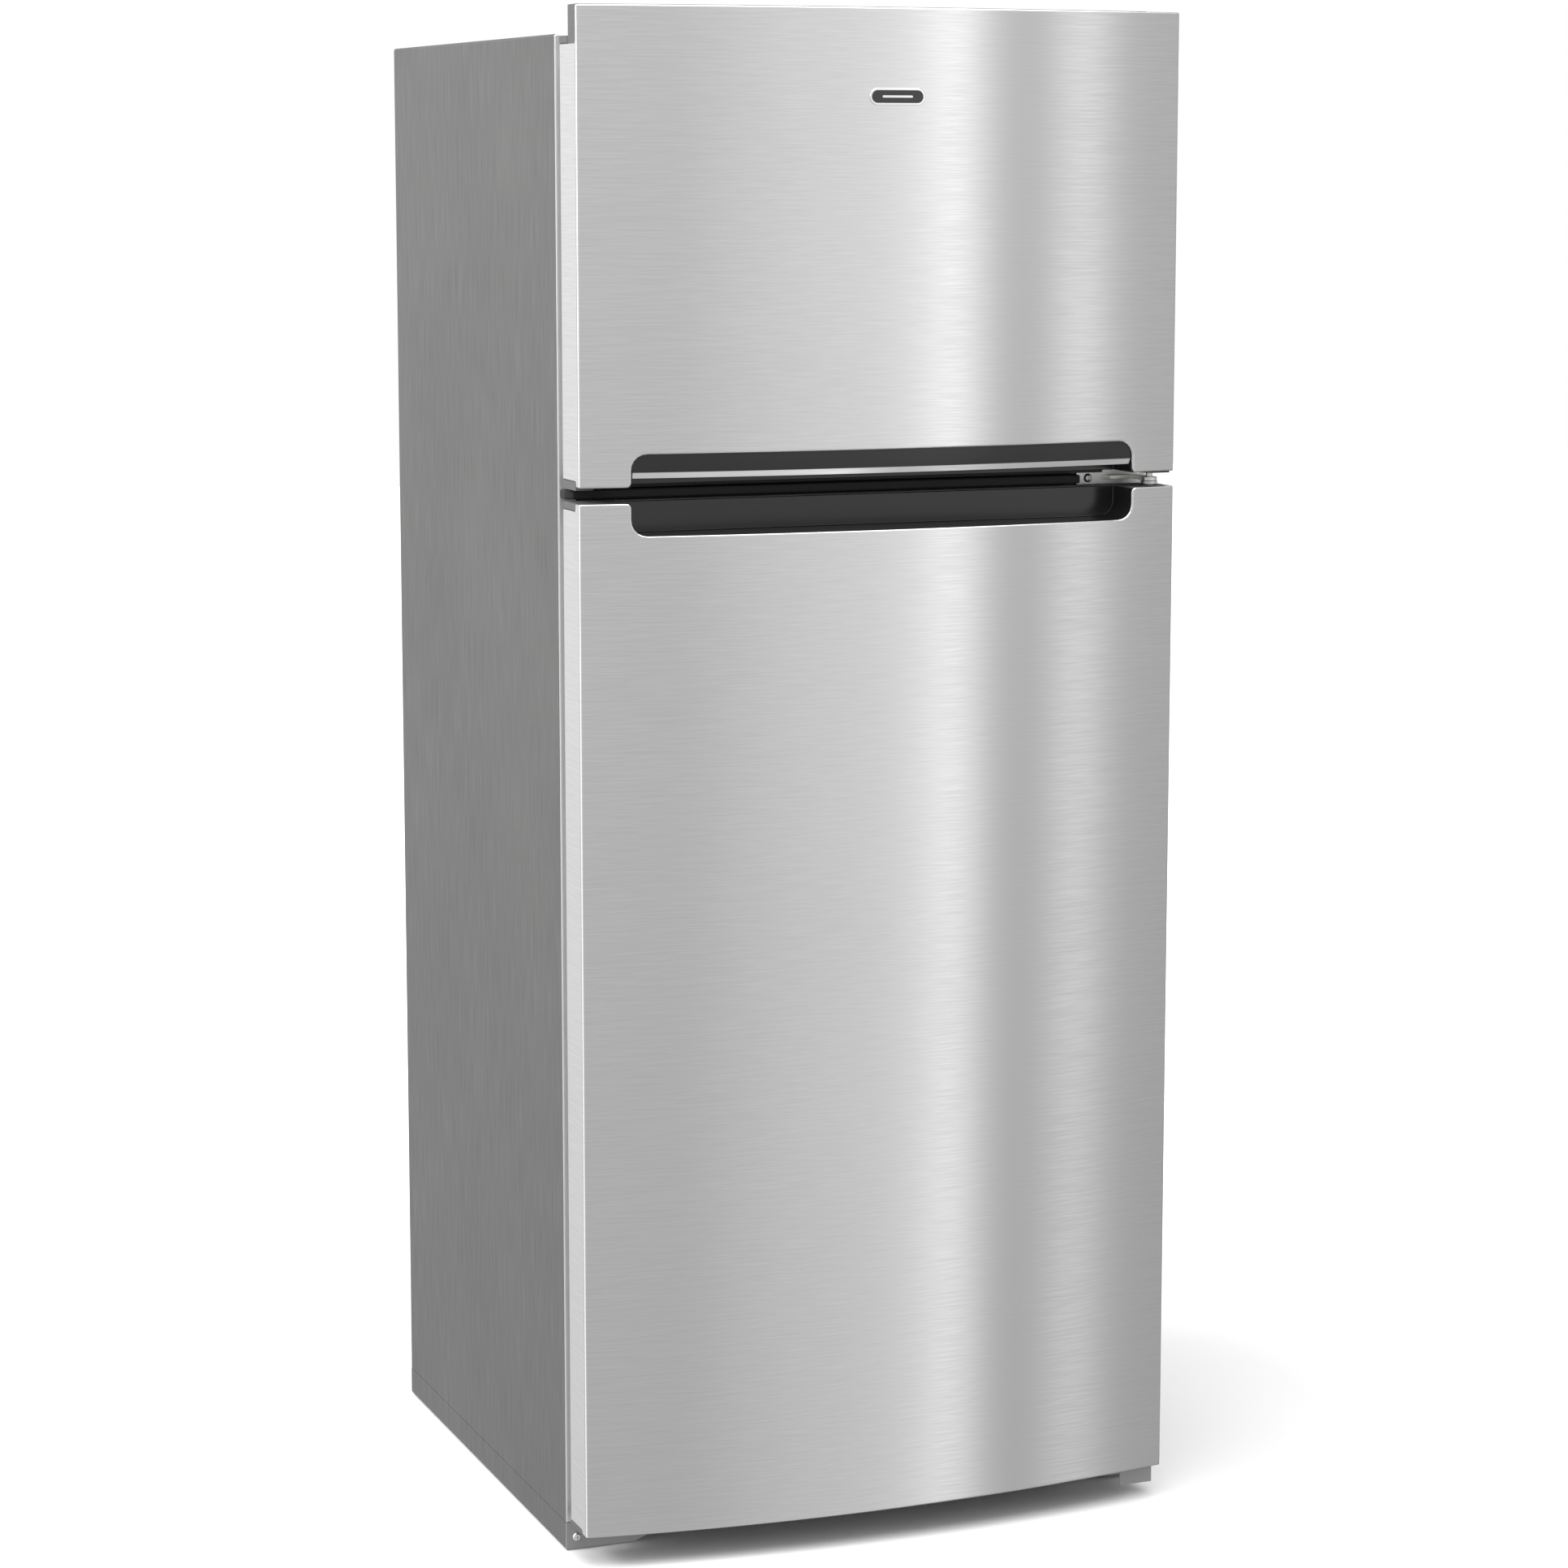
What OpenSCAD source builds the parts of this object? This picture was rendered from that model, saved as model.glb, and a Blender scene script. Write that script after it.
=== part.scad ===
// Top freezer refrigerator: a foamed cabinet on a steel base, with two doors whose fronts
// bow outward. Millimetres. X runs to the right seen from the front, Y to the back, Z up
// from the floor, and the origin is the middle of the footprint. Every y that a module
// takes is measured from the cabinet's front face: minus is toward the person.

/* [Overall] */
// Width of the cabinet and of both doors
body_w = 700; // [560:5:860]
// Height of the cabinet's roof above the floor
cab_h = 1665; // [1380:5:2010]
// Depth of the cabinet behind its front face
cab_d = 622; // [510:1:760]
// Height of the freezer door
freezer_door_h = 505.5; // [420:0.5:620]
// How far the freezer door rises above the roof
door_rise = 30; // [24:1:40]

/* [Doors] */
// Depth of a door's side
door_t = 55; // [45:1:70]
// How far a door's front bows out at its middle
door_bulge = 31; // [10:1:45]
// Gap between the cabinet's face and a door's side
seal_gap = 16; // [12:1:22]
// Height of the gap between the two doors
door_split = 16.5; // [14:0.5:24]
// Height of the lower door's bottom edge above the floor
door_floor = 37; // [32:1:60]
// Thickness of the steel door skin
skin_t = 1; // [0.8:0.1:1.5]
// Thickness of the moulded end caps
cap_t = 4; // [3:0.5:6]
// How far a door's inner wall reaches into the compartment
dyke_reach = 24; // [10:1:34]
// Thickness of that raised wall
dyke_t = 14; // [8:1:20]

/* [Pocket handles] */
// Distance from a door's side to its pocket
pocket_side = 56; // [40:1:120]
// Height of a pocket's opening
pocket_h = 35; // [28:1:50]
// Radius of the opening's outer corners
pocket_r = 17; // [8:1:24]
// Distance from the cabinet's face to a pocket's back wall
pocket_back = 32; // [28:1:40]
// Height of the gloss grip lip in the freezer door
grip_h = 26; // [20:1:30]

/* [Walls] */
// Thickness of the steel cabinet sheet
sheet_t = 1; // [0.8:0.1:1.5]
// Thickness of the plastic liners
liner_t = 2; // [1.5:0.5:3]
// Wall of the fresh food space, sheet and foam and liner
fridge_wall = 45; // [38:1:60]
// Wall of the freezer, sheet and foam and liner
freezer_wall = 60; // [50:1:75]
// Width of the face that a gasket seals on
seal_land = 35; // [30:1:45]
// Height of the fresh food space's floor above the ground
floor_z = 95; // [85:1:120]

/* [Machine space] */
// Depth of the space for the compressor
machine_d = 212; // [200:1:240]
// Height of its ceiling above the ground
machine_h = 255; // [240:1:280]
// Radius of the compressor's shell
pump_r = 76; // [60:1:80]

/* [Hinges] */
// Distance from a door's side to its hinge axis
axis_in = 18; // [16:1:24]
// Distance from the cabinet's face to the hinge axis
axis_out = 45; // [40:1:48]
// Radius of the hinge pins
pin_r = 4; // [3:0.5:5]
// Gap all round a pin in its bush
pin_fit = 0.05; // [0.02:0.01:0.1]

/* [Fresh food space] */
// Thickness of a shelf's frame
shelf_t = 14; // [10:1:20]
// Height of a crisper drawer
crisper_h = 197; // [140:1:220]
// Wall of the clear drawers and bins
bin_t = 2.5; // [2:0.5:4]
// How far the door bins reach behind the door's raised wall
bin_reach = 54; // [40:1:56]
// Distance from the cabinet's face to the drawers' fronts
drawer_y = 92; // [88:1:110]
// Gap between a drawer and the wall beside it
drawer_play = 17; // [12:1:24]

/* [Hidden] */
$fn = 48;
arc_fn = 256;
clear = 1;            // how far a cut runs past what it cuts

// Across
hw = body_w / 2;
axis_x = hw - axis_in;
flange_w = 20;        // steel face that the wrapper turns in round the front
rear_flange_w = 22;
seal_x = hw - flange_w;
fz_x = hw - freezer_wall;
fr_x = hw - fridge_wall;
fz_in = fz_x - liner_t;
fr_in = fr_x - liner_t;
pocket_x = hw - pocket_side;
dyke_gap = 12;        // between a door's raised wall and the compartment's wall
fz_dyke_x = fz_in - dyke_gap;
fr_dyke_x = fr_in - dyke_gap;
bin_play = 1;
fz_bin_x = fz_dyke_x - dyke_t - bin_play;
fr_bin_x = fr_dyke_x - dyke_t - bin_play;

// Front to back, from the cabinet's face
door_front = seal_gap + door_t + door_bulge;
badge_t = 1;
face_y = (door_front + badge_t - cab_d) / 2;
arc_r = body_w * body_w / (8 * door_bulge) + door_bulge / 2;
arc_y = arc_r - door_front;
side_front = seal_gap + door_t;
seal_play = 0.3;
liner_back = cab_d - freezer_wall;
machine_y = cab_d - machine_d;
step_foam = 40;
step_y = machine_y - step_foam;
bin_back = dyke_reach + bin_reach;

// Up from the floor
door_top = cab_h + door_rise;
split_top = door_top - freezer_door_h;
split_bottom = split_top - door_split;
mull_top = split_top + seal_land;
mull_bottom = split_bottom - seal_land;
fz_roof = cab_h - freezer_wall;
step_z = machine_h + step_foam;
cap_notch = 42;       // depth of the side notches at the door's corners
ledge_z = cab_h - 3;
ledge_t = 7.5;
notch_h = 6;
foot_notch_h = 4;
base_z = 33;          // bottom edge of the cabinet's sheet
rail_h = 31;
strip_gap = 0.5;
strip_t = 2;
ground_gap = 2;

// Hinges
leaf_t = 4;
roof_leaf_t = 3;
arm_w = 16;
knuckle_r = 9;
split_leaf_z = split_bottom + 4.5;
foot_leaf_z = door_floor - 7;
pin_deep = 14;        // how far a pin stands in a door
screw_r = 2.5;
screw_hole_r = 2.8;
roof_screw_x = [for (k = [0:2]) axis_x - 66 + 26 * k];
foot_screw_x = [for (k = [0, 1]) axis_x - 60 + 26 * k];
bore_r = pin_r + pin_fit;
washer_r = 9.5;
notch_r = 26;         // half width of the hinge recess in the freezer door's top

// Fresh food space
drawer_z = floor_z + liner_t + 4;
drawer_top = drawer_z + crisper_h;
cover_z = max(drawer_top + 8, step_z + liner_t + 6);
cover_top = cover_z + shelf_t;
control_h = 68;
control_z = mull_bottom - liner_t - control_h;
shelf_count = 3;
shelf_pitch = (control_z - cover_top) / (shelf_count + 1);
shelf_x = fr_in - 5;
shelf_front = 175;
shelf_back = liner_back - liner_t - 5;
shelf_rim = 16;
glass_t = 4;
glass_lip = 5;
drawer_wall_y = drawer_y + 8;
drawer_back = step_y - liner_t - 8;
drawer_x = fr_in - drawer_play;
drawer_mid = 5;       // half the gap between the two crispers
deli_h = 80;
deli_top = cover_top + shelf_pitch - 9;
deli_front = 190;
deli_back = 440;
deli_x = [-drawer_x + 6, -34];

// Controls
knob_x = 62;
knob_z = control_z + 32;
knob_r = 20;
shaft_r = 3;
control_front = 62;
control_back = 330;
control_x = 150;
plunger_x = 128;
plunger_z = mull_bottom - liner_t - 14;
plunger_r = 4;
slider_w = 26;

// Door insides
function dyke_z(low, high) = [low + liner_t + 8, high - liner_t - 8];
fz_dyke_z = dyke_z(mull_top, fz_roof);
fr_dyke_z = dyke_z(floor_z, mull_bottom);
fz_bin_z = [for (k = [0.09, 0.55]) fz_dyke_z[0] + k * (fz_dyke_z[1] - fz_dyke_z[0])];
fr_bin_z = [for (k = [0.035, 0.32, 0.575, 0.8]) fr_dyke_z[0] + k * (fr_dyke_z[1] - fr_dyke_z[0])];
fz_bin_h = 92;
fr_bin_h = [120, 105, 95, 80];
dairy_x = [-fr_bin_x, 30];
dairy_h = min(112, control_z - fr_bin_z[3] - 8);
lid_gap = 1;
lid_t = 3;
lid_y = bin_back - 9;
lid_pin_r = 2.5;
lid_axis_z = fr_bin_z[3] + dairy_h - 7;

// Feet and machine space
leg_x = hw - 35;
leg_y = 26;
leg_r = 5;
leg_play = 0.05;
foot_r = 15;
foot_h = 8;
roller_r = 12;
roller_w = 18;
roller_x = hw - 50;
roller_y = cab_d - 40;
tray_z = 26;
tray_t = 2;
pump_x = -hw * 0.43;
pump_y = cab_d - machine_d / 2;
pump_z = 108;
pump_half = 76;
pump_top = pump_z + pump_half - 12;
line_z = machine_h - 18;
fan_x = 40;
fan_z = 140;
coil_x = [100, hw - 30];
coil_tube_r = 3;
coil_fins = 12;
coil_pitch = (coil_x[1] - coil_x[0] - 30) / (coil_fins - 1);

// Freezer fittings
rib_w = 9;            // ribs on both liners that carry the shelves
wire_shelf_z = (mull_top + fz_roof) / 2;
wire_rail_t = 6;
evap_y = liner_back - 62;
evap_fan_z = fz_roof - 95;
evap_fan_r = 42;

// A block given by its lowest and highest x, y and z
module bx(x, y, z) {
  translate([x[0], face_y + y[0], z[0]]) cube([x[1] - x[0], y[1] - y[0], z[1] - z[0]]);
}

// The same block on both sides of the middle
module both(x, y, z) {
  bx(x, y, z);
  bx([-x[1], -x[0]], y, z);
}

module post(x, y, z, r) {
  translate([x, face_y + y, z[0]]) cylinder(h = z[1] - z[0], r = r);
}

module bar_x(x, y, z, r) {
  translate([x[0], face_y + y, z]) rotate([0, 90, 0]) cylinder(h = x[1] - x[0], r = r);
}

module bar_y(x, y, z, r) {
  translate([x, face_y + y[0], z]) rotate([-90, 0, 0]) cylinder(h = y[1] - y[0], r = r);
}

// An outline drawn in X and Z, made y deep
module xz_prism(points, y) {
  translate([0, face_y + y[1], 0]) rotate([90, 0, 0])
    linear_extrude(y[1] - y[0]) polygon(points);
}

// An outline drawn in X and Y, made z high
module xy_prism(points, z) {
  translate([0, face_y, z[0]]) linear_extrude(z[1] - z[0]) polygon(points);
}

function arc(c, r, from, to, steps = 6) =
  [for (i = [0:steps]) let (a = from + (to - from) * i / steps) c + r * [cos(a), sin(a)]];

function rounded(lo, hi, r) = concat(
  arc([hi[0] - r, hi[1] - r], r, 0, 90), arc([lo[0] + r, hi[1] - r], r, 90, 180),
  arc([lo[0] + r, lo[1] + r], r, 180, 270), arc([hi[0] - r, lo[1] + r], r, 270, 360));

// The space of a door, inset all round, from its bowed front to a flat back
module door_block(inset, back, z) {
  intersection() {
    translate([0, face_y + arc_y, z[0]])
      cylinder(h = z[1] - z[0], r = arc_r - inset, $fn = arc_fn);
    bx([-hw + inset, hw - inset], [-door_front - clear, back], z);
  }
}

// Cabinet

module cabinet_wrapper() {
  color("silver") difference() {
    bx([-hw, hw], [0, cab_d], [base_z, cab_h]);
    bx([-hw + sheet_t, hw - sheet_t], [sheet_t, cab_d - sheet_t], [0, cab_h - sheet_t]);
    bx([-seal_x, seal_x], [-clear, 2 * sheet_t], [0, cab_h - flange_w]);
    bx([-hw + rear_flange_w, hw - rear_flange_w], [cab_d - 2 * sheet_t, cab_d + clear],
       [0, cab_h - rear_flange_w]);
  }
}

module back_panel() {
  color("lightgray")
    bx([-hw + rear_flange_w, hw - rear_flange_w], [cab_d - sheet_t, cab_d],
       [machine_h, cab_h - rear_flange_w]);
}

module fridge_space(x, back, low, high, step) {
  difference() {
    bx([-x, x], [-clear, back], [low, high]);
    bx([-x - clear, x + clear], [step[0], back + clear], [low - clear, step[1]]);
  }
}

module cabinet_foam() {
  color("khaki") difference() {
    bx([-hw + sheet_t, hw - sheet_t], [liner_t, cab_d - sheet_t],
       [base_z + 3, cab_h - sheet_t]);
    bx([-fz_x, fz_x], [0, liner_back], [mull_top, fz_roof]);
    fridge_space(fr_x, liner_back, floor_z, mull_bottom, [step_y, step_z]);
    bx([-hw, hw], [machine_y, cab_d + clear], [0, machine_h]);
  }
}

module machine_base() {
  wide = hw - strip_t;
  fork_x = 12;          // from a roller's middle to the plates that hold its pin
  fork_t = 2;
  color("dimgray") {
    bx([-wide, wide], [machine_y, cab_d - sheet_t], [tray_z, tray_z + tray_t]);
    bx([-wide, wide], [machine_y, machine_y + sheet_t], [tray_z, machine_h]);
    bx([-wide, wide], [machine_y, cab_d - sheet_t], [machine_h - sheet_t, machine_h]);
    for (s = [-1, 1], e = [-1, 1])
      bx([s * roller_x + e * fork_x - fork_t / 2, s * roller_x + e * fork_x + fork_t / 2],
         [roller_y - roller_r - 2, roller_y + roller_r + 2], [roller_r - 6, tray_z + tray_t]);
    for (s = [-1, 1])
      bar_x([s * roller_x - fork_x - 4, s * roller_x + fork_x + 4], roller_y, roller_r, pin_r);
  }
}

module base_rails() {
  color("gray") {
    both([hw - strip_t, hw], [2.5, cab_d], [ground_gap, base_z - strip_gap]);
    bx([-seal_x, seal_x], [0, sheet_t], [base_z + 2, base_z + 2 + rail_h]);
    bx([-hw + sheet_t, hw - sheet_t], [4, machine_y], [base_z + 2, base_z + 3]);
  }
}

module toe_grille() {
  slots = 9;
  half = hw - 130;
  pitch = 2 * half / slots;
  color("#1a1a1a") difference() {
    bx([-half, half], [8, 12], [6, base_z - 1]);
    for (i = [0:slots - 1], k = [0, 1])
      bx([-half + pitch * i + 5, -half + pitch * (i + 1) - 5], [8 - clear, 12 + clear],
         [12 + 9 * k, 16 + 9 * k]);
  }
}

module foot_bracket() {
  low = 1;
  color("darkgray") difference() {
    union() {
      xz_prism([[-hw, low], [-hw + 80, low], [-hw + 110, low + 11], [-hw + 118, base_z - 1],
                [-hw, base_z - 1]], [0, 2.5]);
      bx([-hw + 4, -hw + 85], [2, 52], [base_z - 7, base_z - 4]);
    }
    post(-leg_x, leg_y, [0, base_z], leg_r + leg_play);
    bar_y(-hw + 12, [-clear, 4], 15, screw_hole_r);
  }
}

module mullion_rail() {
  color("#222222") bx([-seal_x, seal_x], [0, 1.5], [mull_bottom, mull_top]);
}

module mullion_trim() {
  z = [split_bottom + 1, split_top - 5.5];
  deep = 22;
  nose = 8;             // its left end is cut back at 45 degrees by this much
  color("#111111")
    xy_prism([[-hw + 2, 0], [-hw + 2, nose - deep], [-hw + 2 + nose, -deep],
              [axis_x - 74, -deep], [axis_x - 74, 0]], z);
}

module freezer_liner() {
  color("white") difference() {
    union() {
      bx([-fz_x, fz_x], [0, liner_back], [mull_top, fz_roof]);
      bx([-seal_x, seal_x], [0, liner_t], [mull_top, cab_h - flange_w]);
    }
    bx([-fz_in, fz_in], [-clear, liner_back - liner_t], [mull_top + liner_t, fz_roof - liner_t]);
  }
  color("white")
    both([fz_in - rib_w, fz_in + liner_t], [shelf_front - 40, evap_y - 10],
         [wire_shelf_z - wire_rail_t - 5, wire_shelf_z - wire_rail_t]);
}

module fridge_liner() {
  color("white") {
    difference() {
      union() {
        difference() {
          bx([-fr_x, fr_x], [0, liner_back], [floor_z, mull_bottom]);
          bx([-fr_x - clear, fr_x + clear], [step_y, liner_back + clear],
             [floor_z - clear, step_z]);
        }
        bx([-seal_x, seal_x], [0, liner_t], [base_z + 2 + rail_h, mull_bottom]);
      }
      bx([-fr_in, fr_in], [-clear, liner_back - liner_t],
         [step_z + liner_t, mull_bottom - liner_t]);
      bx([-fr_in, fr_in], [-clear, step_y - liner_t], [floor_z + liner_t, step_z + 2 * liner_t]);
    }
    for (i = [1:shelf_count])
      both([fr_in - rib_w, fr_in], [shelf_front + 10, shelf_back],
           [shelf_z(i) - 6, shelf_z(i)]);
    both([fr_in - rib_w, fr_in], [drawer_wall_y + 10, shelf_back], [cover_z - 6, cover_z]);
  }
}

function shelf_z(i) = cover_top + shelf_pitch * i;

// Freezer fittings

module evaporator_cover() {
  slots = 8;
  color("whitesmoke") difference() {
    bx([-fz_in + 1, fz_in - 1], [evap_y - 4, evap_y], [mull_top + liner_t + 1, fz_roof - liner_t - 1]);
    for (a = [0:45:135])
      intersection() {
        bar_y(0, [evap_y - 4 - clear, evap_y + clear], evap_fan_z, evap_fan_r + 3);
        translate([0, face_y + evap_y - 2, evap_fan_z]) rotate([0, a, 0])
          cube([evap_fan_r * 1.5, 12, 9], center = true);
      }
    for (i = [0:slots - 1])
      bx([-fz_in + 60 + i * (fz_in * 2 - 150) / slots, -fz_in + 92 + i * (fz_in * 2 - 150) / slots],
         [evap_y - 4 - clear, evap_y + clear], [mull_top + 22, mull_top + 34]);
  }
}

module evaporator_coil() {
  rows = 4;
  fins = 22;
  wide = fz_in - 60;
  low = mull_top + 30;
  high = 150;
  color("lightsteelblue") {
    for (k = [0:rows - 1], s = [0, 1])
      bar_x([-wide, wide], evap_y + 18 + 22 * s, low + high * (k + 0.5) / rows, 4);
    for (i = [0:fins - 1])
      bx([-wide + 8 + i * (2 * wide - 16) / (fins - 1) - 0.5,
          -wide + 8 + i * (2 * wide - 16) / (fins - 1) + 0.5],
         [evap_y + 8, evap_y + 50], [low, low + high]);
  }
}

module evaporator_fan_motor() {
  color("#333333") {
    bar_y(0, [evap_y + 26, evap_y + 52], evap_fan_z, 22);
    bar_y(0, [evap_y + 8, evap_y + 27], evap_fan_z, shaft_r);
    for (s = [-1, 1])
      bx([s * 40 - 22, s * 40 + 22], [evap_y + 50, evap_y + 58], [evap_fan_z - 5, evap_fan_z + 5]);
  }
}

// Fan blades round a hub, turned about +Y
module fan_wheel(r, blades, hub_r, wide) {
  difference() {
    union() {
      rotate([-90, 0, 0]) cylinder(h = wide, r = hub_r);
      intersection() {
        rotate([-90, 0, 0]) cylinder(h = wide, r = r);
        for (i = [0:blades - 1])
          rotate([0, i * 360 / blades, 0]) translate([0, wide / 2, 0]) rotate([0, 0, 35])
            translate([-wide * 0.75, -0.8, hub_r - 2]) cube([wide * 1.5, 1.6, r]);
      }
    }
    translate([0, -clear, 0]) rotate([-90, 0, 0])
      cylinder(h = wide + 2 * clear, r = shaft_r + pin_fit);
  }
}

module evaporator_fan() {
  color("#444444") translate([0, face_y + evap_y + 10, evap_fan_z])
    fan_wheel(evap_fan_r - 4, 5, 11, 12);
}

module freezer_shelf() {
  z = wire_shelf_z;
  x = fz_in - 4;
  wires = 30;
  rail_t = wire_rail_t;
  wire_t = 3;
  pitch = (2 * x - 12) / wires;
  color("white") {
    for (y = [shelf_front - 40, shelf_front + 95, evap_y - 90, evap_y - 16])
      bx([-x, x], [y, y + rail_t], [z - rail_t, z]);
    for (i = [0:wires])
      bx([-x + 4.5 + i * pitch, -x + 4.5 + wire_t + i * pitch], [shelf_front - 42, evap_y - 10],
         [z - 1, z - 1 + wire_t]);
  }
}

// Fresh food fittings

module control_housing() {
  wall = 2.5;
  color("white") difference() {
    bx([-control_x, control_x], [control_front, control_back], [control_z, control_z + control_h]);
    bx([-control_x + wall, control_x - wall], [control_front + wall, control_back - wall],
       [control_z + wall, control_z + control_h + clear]);
    for (s = [-1, 1])
      bar_y(s * knob_x, [control_front - clear, control_front + 8], knob_z, shaft_r + pin_fit);
    bar_y(plunger_x, [control_front - clear, control_front + 8], plunger_z, plunger_r + pin_fit);
    bx([-66, 66], [160, 296], [control_z - clear, control_z + 4]);
  }
}

module knob(x) {
  color("lightgray") {
    bar_y(x, [control_front - 6, control_front - 1], knob_z, knob_r);
    bar_y(x, [control_front - 16, control_front - 5], knob_z, knob_r - 3);
    bx([x - 2.5, x + 2.5], [control_front - 19, control_front - 15],
       [knob_z - knob_r + 4, knob_z + knob_r - 4]);
    bar_y(x, [control_front - 2, control_front + 10], knob_z, shaft_r);
  }
}

module fridge_knob() { knob(-knob_x); }

module freezer_knob() { knob(knob_x); }

module lamp_cover() {
  color("lightyellow") difference() {
    bx([-65.5, 65.5], [160.5, 295.5], [control_z - 9, control_z + 2.5]);
    bx([-63, 63], [163, 293], [control_z - 7, control_z + 3]);
  }
}

module light_switch_plunger() {
  color("white") {
    bar_y(plunger_x, [dyke_reach + 1, control_front + 20], plunger_z, plunger_r);
    bar_y(plunger_x, [control_front + 12, control_front + 15], plunger_z, plunger_r + 2.5);
  }
}

// A frame with a ledge for its glass
module glass_frame(front, z) {
  difference() {
    bx([-shelf_x, shelf_x], [front, shelf_back], [z, z + shelf_t]);
    bx([-shelf_x + shelf_rim, shelf_x - shelf_rim], [front + shelf_rim, shelf_back - shelf_rim],
       [z - clear, z + shelf_t + clear]);
    bx([-shelf_x + shelf_rim - glass_lip, shelf_x - shelf_rim + glass_lip],
       [front + shelf_rim - glass_lip, shelf_back - shelf_rim + glass_lip],
       [z + shelf_t - glass_t - 1, z + shelf_t + clear]);
  }
}

module glass_pane(front, z) {
  edge = shelf_rim - glass_lip + 0.5;
  bx([-shelf_x + edge, shelf_x - edge], [front + edge, shelf_back - edge],
     [z + shelf_t - glass_t - 1, z + shelf_t - 1]);
}

// Channels under the lowest shelf for the deli drawer's rim
module deli_hanger() {
  low = deli_top - 10;
  high = shelf_z(1);
  for (s = [0, 1]) {
    wall_x = s == 0 ? deli_x[0] - 11 : deli_x[1] + 8;
    lip_x = s == 0 ? deli_x[0] - 8.5 : deli_x[1] + 2;
    bx([wall_x, wall_x + 3], [deli_front + 4, deli_back + 6], [low, high]);
    bx([lip_x, lip_x + 6.5], [deli_front + 4, deli_back + 6], [low, low + 3]);
  }
}

module shelf_frames() {
  color("whitesmoke") {
    for (i = [1:shelf_count]) glass_frame(shelf_front, shelf_z(i));
    deli_hanger();
  }
}

module shelf_glass() {
  color("azure", 0.5) {
    for (i = [1:shelf_count]) glass_pane(shelf_front, shelf_z(i));
    glass_pane(drawer_wall_y, cover_z);
  }
}

module crisper_frame() {
  color("whitesmoke") {
    glass_frame(drawer_wall_y, cover_z);
    bx([-2, 2], [drawer_wall_y + 20, drawer_back], [floor_z + liner_t, cover_z + 2]);
  }
}

// A clear drawer: an open box with a grip along its front and a rim
module crisper(x) {
  grip_h = 22;
  color("aliceblue", 0.6) {
    difference() {
      bx(x, [drawer_wall_y, drawer_back], [drawer_z, drawer_top]);
      bx([x[0] + bin_t, x[1] - bin_t], [drawer_wall_y + bin_t, drawer_back - bin_t],
         [drawer_z + bin_t, drawer_top + clear]);
    }
    bx(x, [drawer_y, drawer_wall_y + 1], [drawer_top - bin_t, drawer_top]);
    bx(x, [drawer_y, drawer_y + bin_t], [drawer_top - grip_h, drawer_top]);
  }
}

module crisper_left() { crisper([-drawer_x, -drawer_mid]); }

module crisper_right() { crisper([drawer_mid, drawer_x]); }

module humidity_slider(x) {
  color("dimgray") {
    bx([x, x + slider_w], [drawer_wall_y - 4, drawer_wall_y - 0.4], [cover_z + 2, cover_z + 12]);
    bx([x + slider_w / 2 - 3, x + slider_w / 2 + 3], [drawer_wall_y - 8, drawer_wall_y - 3],
       [cover_z + 3, cover_z + 11]);
  }
}

module humidity_slider_left() { humidity_slider(-drawer_x / 2 - slider_w); }

module humidity_slider_right() { humidity_slider(drawer_x / 2 - slider_w); }

module deli_drawer() {
  rim = 5;
  color("aliceblue", 0.6) {
    difference() {
      bx(deli_x, [deli_front, deli_back], [deli_top - deli_h, deli_top]);
      bx([deli_x[0] + bin_t, deli_x[1] - bin_t], [deli_front + bin_t, deli_back - bin_t],
         [deli_top - deli_h + bin_t, deli_top + clear]);
    }
    bx([deli_x[0] - rim, deli_x[0] + 1], [deli_front, deli_back], [deli_top - 4, deli_top - 1]);
    bx([deli_x[1] - 1, deli_x[1] + rim], [deli_front, deli_back], [deli_top - 4, deli_top - 1]);
    bx([deli_x[0], deli_x[1]], [deli_front - 8, deli_front + 1], [deli_top - bin_t, deli_top]);
    bx([deli_x[0], deli_x[1]], [deli_front - 8, deli_front - 8 + bin_t],
       [deli_top - 20, deli_top]);
  }
}

// Hinges

// A flat arm that ends in a round knuckle on the hinge axis
module hinge_arm(z, back) {
  bx([axis_x - arm_w / 2, axis_x + arm_w / 2], [-axis_out, back], z);
  post(axis_x, -axis_out, z, knuckle_r);
}

module top_hinge() {
  color("lightslategray") {
    hinge_arm([cab_h, cab_h + roof_leaf_t], 20);
    difference() {
      bx([axis_x - 78, axis_x + arm_w / 2], [8, 62], [cab_h, cab_h + roof_leaf_t]);
      for (x = roof_screw_x) post(x, 40, [cab_h - clear, cab_h + roof_leaf_t + clear], screw_hole_r);
    }
    post(axis_x, -axis_out, [ledge_z - pin_deep, cab_h + 1], pin_r);
  }
}

module top_hinge_cover() {
  wall = 2;
  high = 24;
  color("gray") difference() {
    bx([axis_x - 86, hw - 1], [-8, 72], [cab_h, cab_h + high]);
    bx([axis_x - 86 + wall, hw - 1 - wall], [-8 + wall, 72 - wall], [cab_h - clear, cab_h + high - wall]);
    bx([axis_x - arm_w / 2 - 2, axis_x + arm_w / 2 + 1], [-8 - clear, 0],
       [cab_h - clear, cab_h + roof_leaf_t + 2]);
  }
}

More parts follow.
